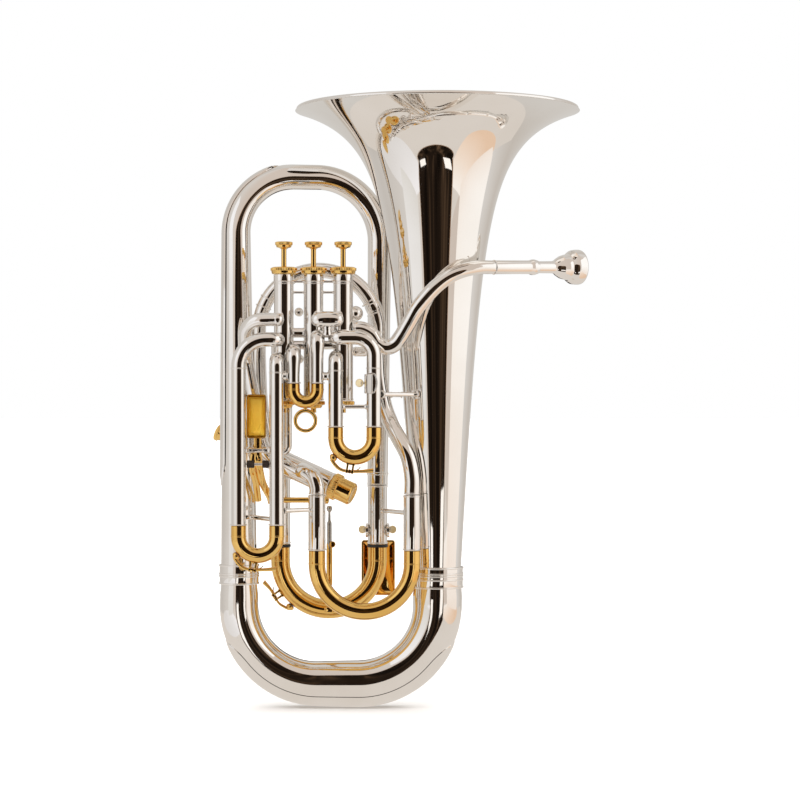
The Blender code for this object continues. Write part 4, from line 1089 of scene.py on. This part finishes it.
def glow(name, *stops, stretch=(0, 0, 1), scale=None, flat=False):
    """A stage material that shines in colours along its height, along its depth, or through a noise."""
    material = bpy.data.materials.new(name)
    material.use_nodes = True
    tree = material.node_tree
    tree.nodes.remove(tree.nodes["Principled BSDF"])
    light = tree.nodes.new("ShaderNodeEmission")
    if scale:
        value = noise(tree, scale, 3.0, stretch)
    else:
        coords = tree.nodes.new("ShaderNodeTexCoord")
        parts = tree.nodes.new("ShaderNodeSeparateXYZ")
        shift = tree.nodes.new("ShaderNodeMapping")
        shift.inputs["Location"].default_value = (0, 1, 0)
        link(tree, coords.outputs["Object"], shift.inputs["Vector"])
        link(tree, shift.outputs["Vector"], parts.inputs["Vector"])
        value = parts.outputs["Y" if flat else "Z"]
    link(tree, ramp(tree, value, *stops), light.inputs["Color"])
    link(tree, light.outputs["Emission"], tree.nodes["Material Output"].inputs["Surface"])
    return material


def arch(straight, reach, left, right, spot):
    """Corners of an opening with a round end. spot makes a point from a place across and one along."""
    middle, half = (left + right) / 2, (right - left) / 2
    top = [math.pi * i / 24 for i in range(25)]
    curve = [spot(middle + half * math.cos(t), straight + reach * math.sin(t)) for t in top]
    return [spot(right, 0.0), *curve, spot(left, 0.0)]


def make_studio():
    """A pale floor, a soft light above, a light tent that is open in front, and the camera."""
    pale = bpy.data.materials.new("floor_pale")
    pale.use_nodes = True
    shader = pale.node_tree.nodes["Principled BSDF"]
    shader.inputs["Base Color"].default_value = (0.93, 0.93, 0.93, 1)
    shader.inputs["Roughness"].default_value = 0.9
    far = 40.0
    floor = staged("floor", [(-far, -far, 0), (far, -far, 0), (far, far, 0), (-far, far, 0)], pale)
    floor.visible_glossy = False

    data = bpy.data.lights.new("overhead", "SUN")
    data.energy = 3.2
    data.angle = math.radians(110)
    overhead = bpy.data.objects.new("overhead", data)
    overhead.visible_glossy = False
    bpy.context.scene.collection.objects.link(overhead)

    shade = ((0.35, (0.006, 0.004, 0.003)), (0.52, (0.018, 0.011, 0.007)), (0.68, (0.11, 0.066, 0.038)))
    dark = glow("tent_dark", *shade, stretch=(1, 1, 0.12), scale=9.0)
    edge = glow("tent_edge", (0.0, (0.32, 0.19, 0.11)), (1.0, (0.36, 0.22, 0.13)))
    table = glow("tent_table", (0.0, (0.72, 0.67, 0.62)), (1.0, (0.72, 0.67, 0.62)))
    shade = ((0.0, (0.93, 0.83, 0.75)), (0.3, (1.0, 0.96, 0.92)), (0.55, (1.08, 1.07, 1.06)))
    right = glow("soft_box_right", *shade)
    left = glow("soft_box_left", (0.0, (0.76, 0.74, 0.71)), (0.6, (0.94, 0.94, 0.96)))
    shade = ((0.1, (0.98, 0.93, 0.88)), (0.5, (0.94, 0.8, 0.69)), (0.98, (0.82, 0.6, 0.44)))
    warm = glow("table_right_light", *shade, flat=True)
    cool = glow("table_left_light", (0.1, (0.94, 0.93, 0.95)), (0.98, (0.76, 0.74, 0.73)), flat=True)
    lamp = glow("lamp_light", (0.0, (1.1, 1.05, 1.0)), (1.0, (1.1, 1.05, 1.0)))
    front, low = -0.55, -0.004

    def upright(y):
        """Places on a wall at y."""
        return lambda across, along: (across, y, low + along)

    def lying(y, z):
        """Places on the table from y backwards, at height z."""
        return lambda across, along: (across, y + along, z)

    def box(x, y_low, y_high, z_low, z_high):
        return [(x, y_low, z_low), (x, y_high, z_low), (x, y_high, z_high), (x, y_low, z_high)]

    def lamp_shape(left, right, bottom, top, lean):
        corners = ((left, bottom), (right - lean, bottom), (right, top), (left + lean, top))
        return [(x, front + 0.002, z) for x, z in corners]

    near = lying(front - 0.4, low + 0.001)
    table_corners = [(-0.9, -2.0, -0.007), (0.9, -2.0, -0.007), (0.9, 0.7, -0.007), (-0.9, 0.7, -0.007)]
    opening = [
        staged("tent_opening", arch(0.42, 0.2, -0.33, 0.31, upright(front)), dark),
        staged("tent_opening_edge", arch(0.42, 0.215, -0.343, 0.325, upright(front - 0.002)), edge),
        staged("table_opening", arch(0.03, 0.13, -0.33, 0.31, lying(front, low)), dark),
        staged("table_opening_edge", arch(0.03, 0.137, -0.338, 0.318, lying(front, low - 0.001)), edge),
        staged("tent_table", table_corners, table),
        staged("table_right", arch(0.76, 0.36, 0.34, 1.2, near), warm),
        staged("table_left", arch(0.76, 0.36, -1.2, -0.36, near), cool),
        staged("soft_box_right", box(0.8, -0.8, 0.12, -0.1, 1.2), right),
        staged("soft_box_left", box(-0.8, -1.0, -0.32, -0.1, 1.2), left),
        staged("lamp_left", lamp_shape(-0.31, -0.17, 0.0, 0.1, 0.03), lamp),
        staged("lamp_right", lamp_shape(0.13, 0.3, 0.02, 0.15, 0.04), lamp),
        staged("tent_seam", arch(0.3, 0.1, -0.12, 0.16, upright(0.75)), dark),
    ]
    for obj in opening:  # only the polished surfaces see these, as they would the walls of a light tent
        obj.visible_camera = False
        obj.visible_diffuse = False
        obj.visible_shadow = False

    world = bpy.data.worlds.new("tent")
    bpy.context.scene.world = world
    world.use_nodes = True
    tree = world.node_tree
    coords = tree.nodes.new("ShaderNodeTexCoord")
    parts = tree.nodes.new("ShaderNodeSeparateXYZ")
    link(tree, coords.outputs["Generated"], parts.inputs["Vector"])
    turn = tree.nodes.new("ShaderNodeMath")
    turn.operation = "ARCTAN2"
    link(tree, parts.outputs["X"], turn.inputs[0])
    link(tree, parts.outputs["Y"], turn.inputs[1])
    share = tree.nodes.new("ShaderNodeMapRange")
    share.inputs["From Min"].default_value = -math.pi
    share.inputs["From Max"].default_value = math.pi
    link(tree, turn.outputs[0], share.inputs["Value"])
    stops = (
        (0.0, (0.66, 0.58, 0.52)), (0.18, (0.7, 0.67, 0.64)), (0.34, (0.58, 0.55, 0.52)),
        (0.5, (0.66, 0.64, 0.61)), (0.62, (0.58, 0.54, 0.5)), (0.72, (0.72, 0.7, 0.68)),
        (0.85, (0.64, 0.56, 0.5)), (1.0, (0.66, 0.58, 0.52)),
    )
    tent = ramp(tree, share.outputs["Result"], *stops)
    around, behind = tree.nodes["Background"], tree.nodes.new("ShaderNodeBackground")
    link(tree, tent, around.inputs["Color"])
    behind.inputs["Color"].default_value = (1.0, 1.0, 1.0, 1.0)
    direct, mix = tree.nodes.new("ShaderNodeLightPath"), tree.nodes.new("ShaderNodeMixShader")
    link(tree, direct.outputs["Is Camera Ray"], mix.inputs["Fac"])
    link(tree, around.outputs["Background"], mix.inputs[1])
    link(tree, behind.outputs["Background"], mix.inputs[2])
    link(tree, mix.outputs["Shader"], tree.nodes["World Output"].inputs["Surface"])

    lens = bpy.data.cameras.new("photo_view")
    lens.lens, lens.sensor_width = 110.7, 36.0
    camera = bpy.data.objects.new("photo_view", lens)
    camera.location = (0, -2.661, 0.33205)
    camera.rotation_euler = (math.radians(90), 0, 0)
    bpy.context.scene.collection.objects.link(camera)
    bpy.context.scene.camera = camera
    bpy.context.scene.view_settings.view_transform = "Standard"


make_bell()
make_bottom_bow()
make_branch()
make_main_slide()
make_valves()
make_valve_slides()
make_inner_tubing()
make_leadpipe()
make_fittings()
make_trigger()
make_water_keys()
make_studio()

bpy.context.view_layer.update()
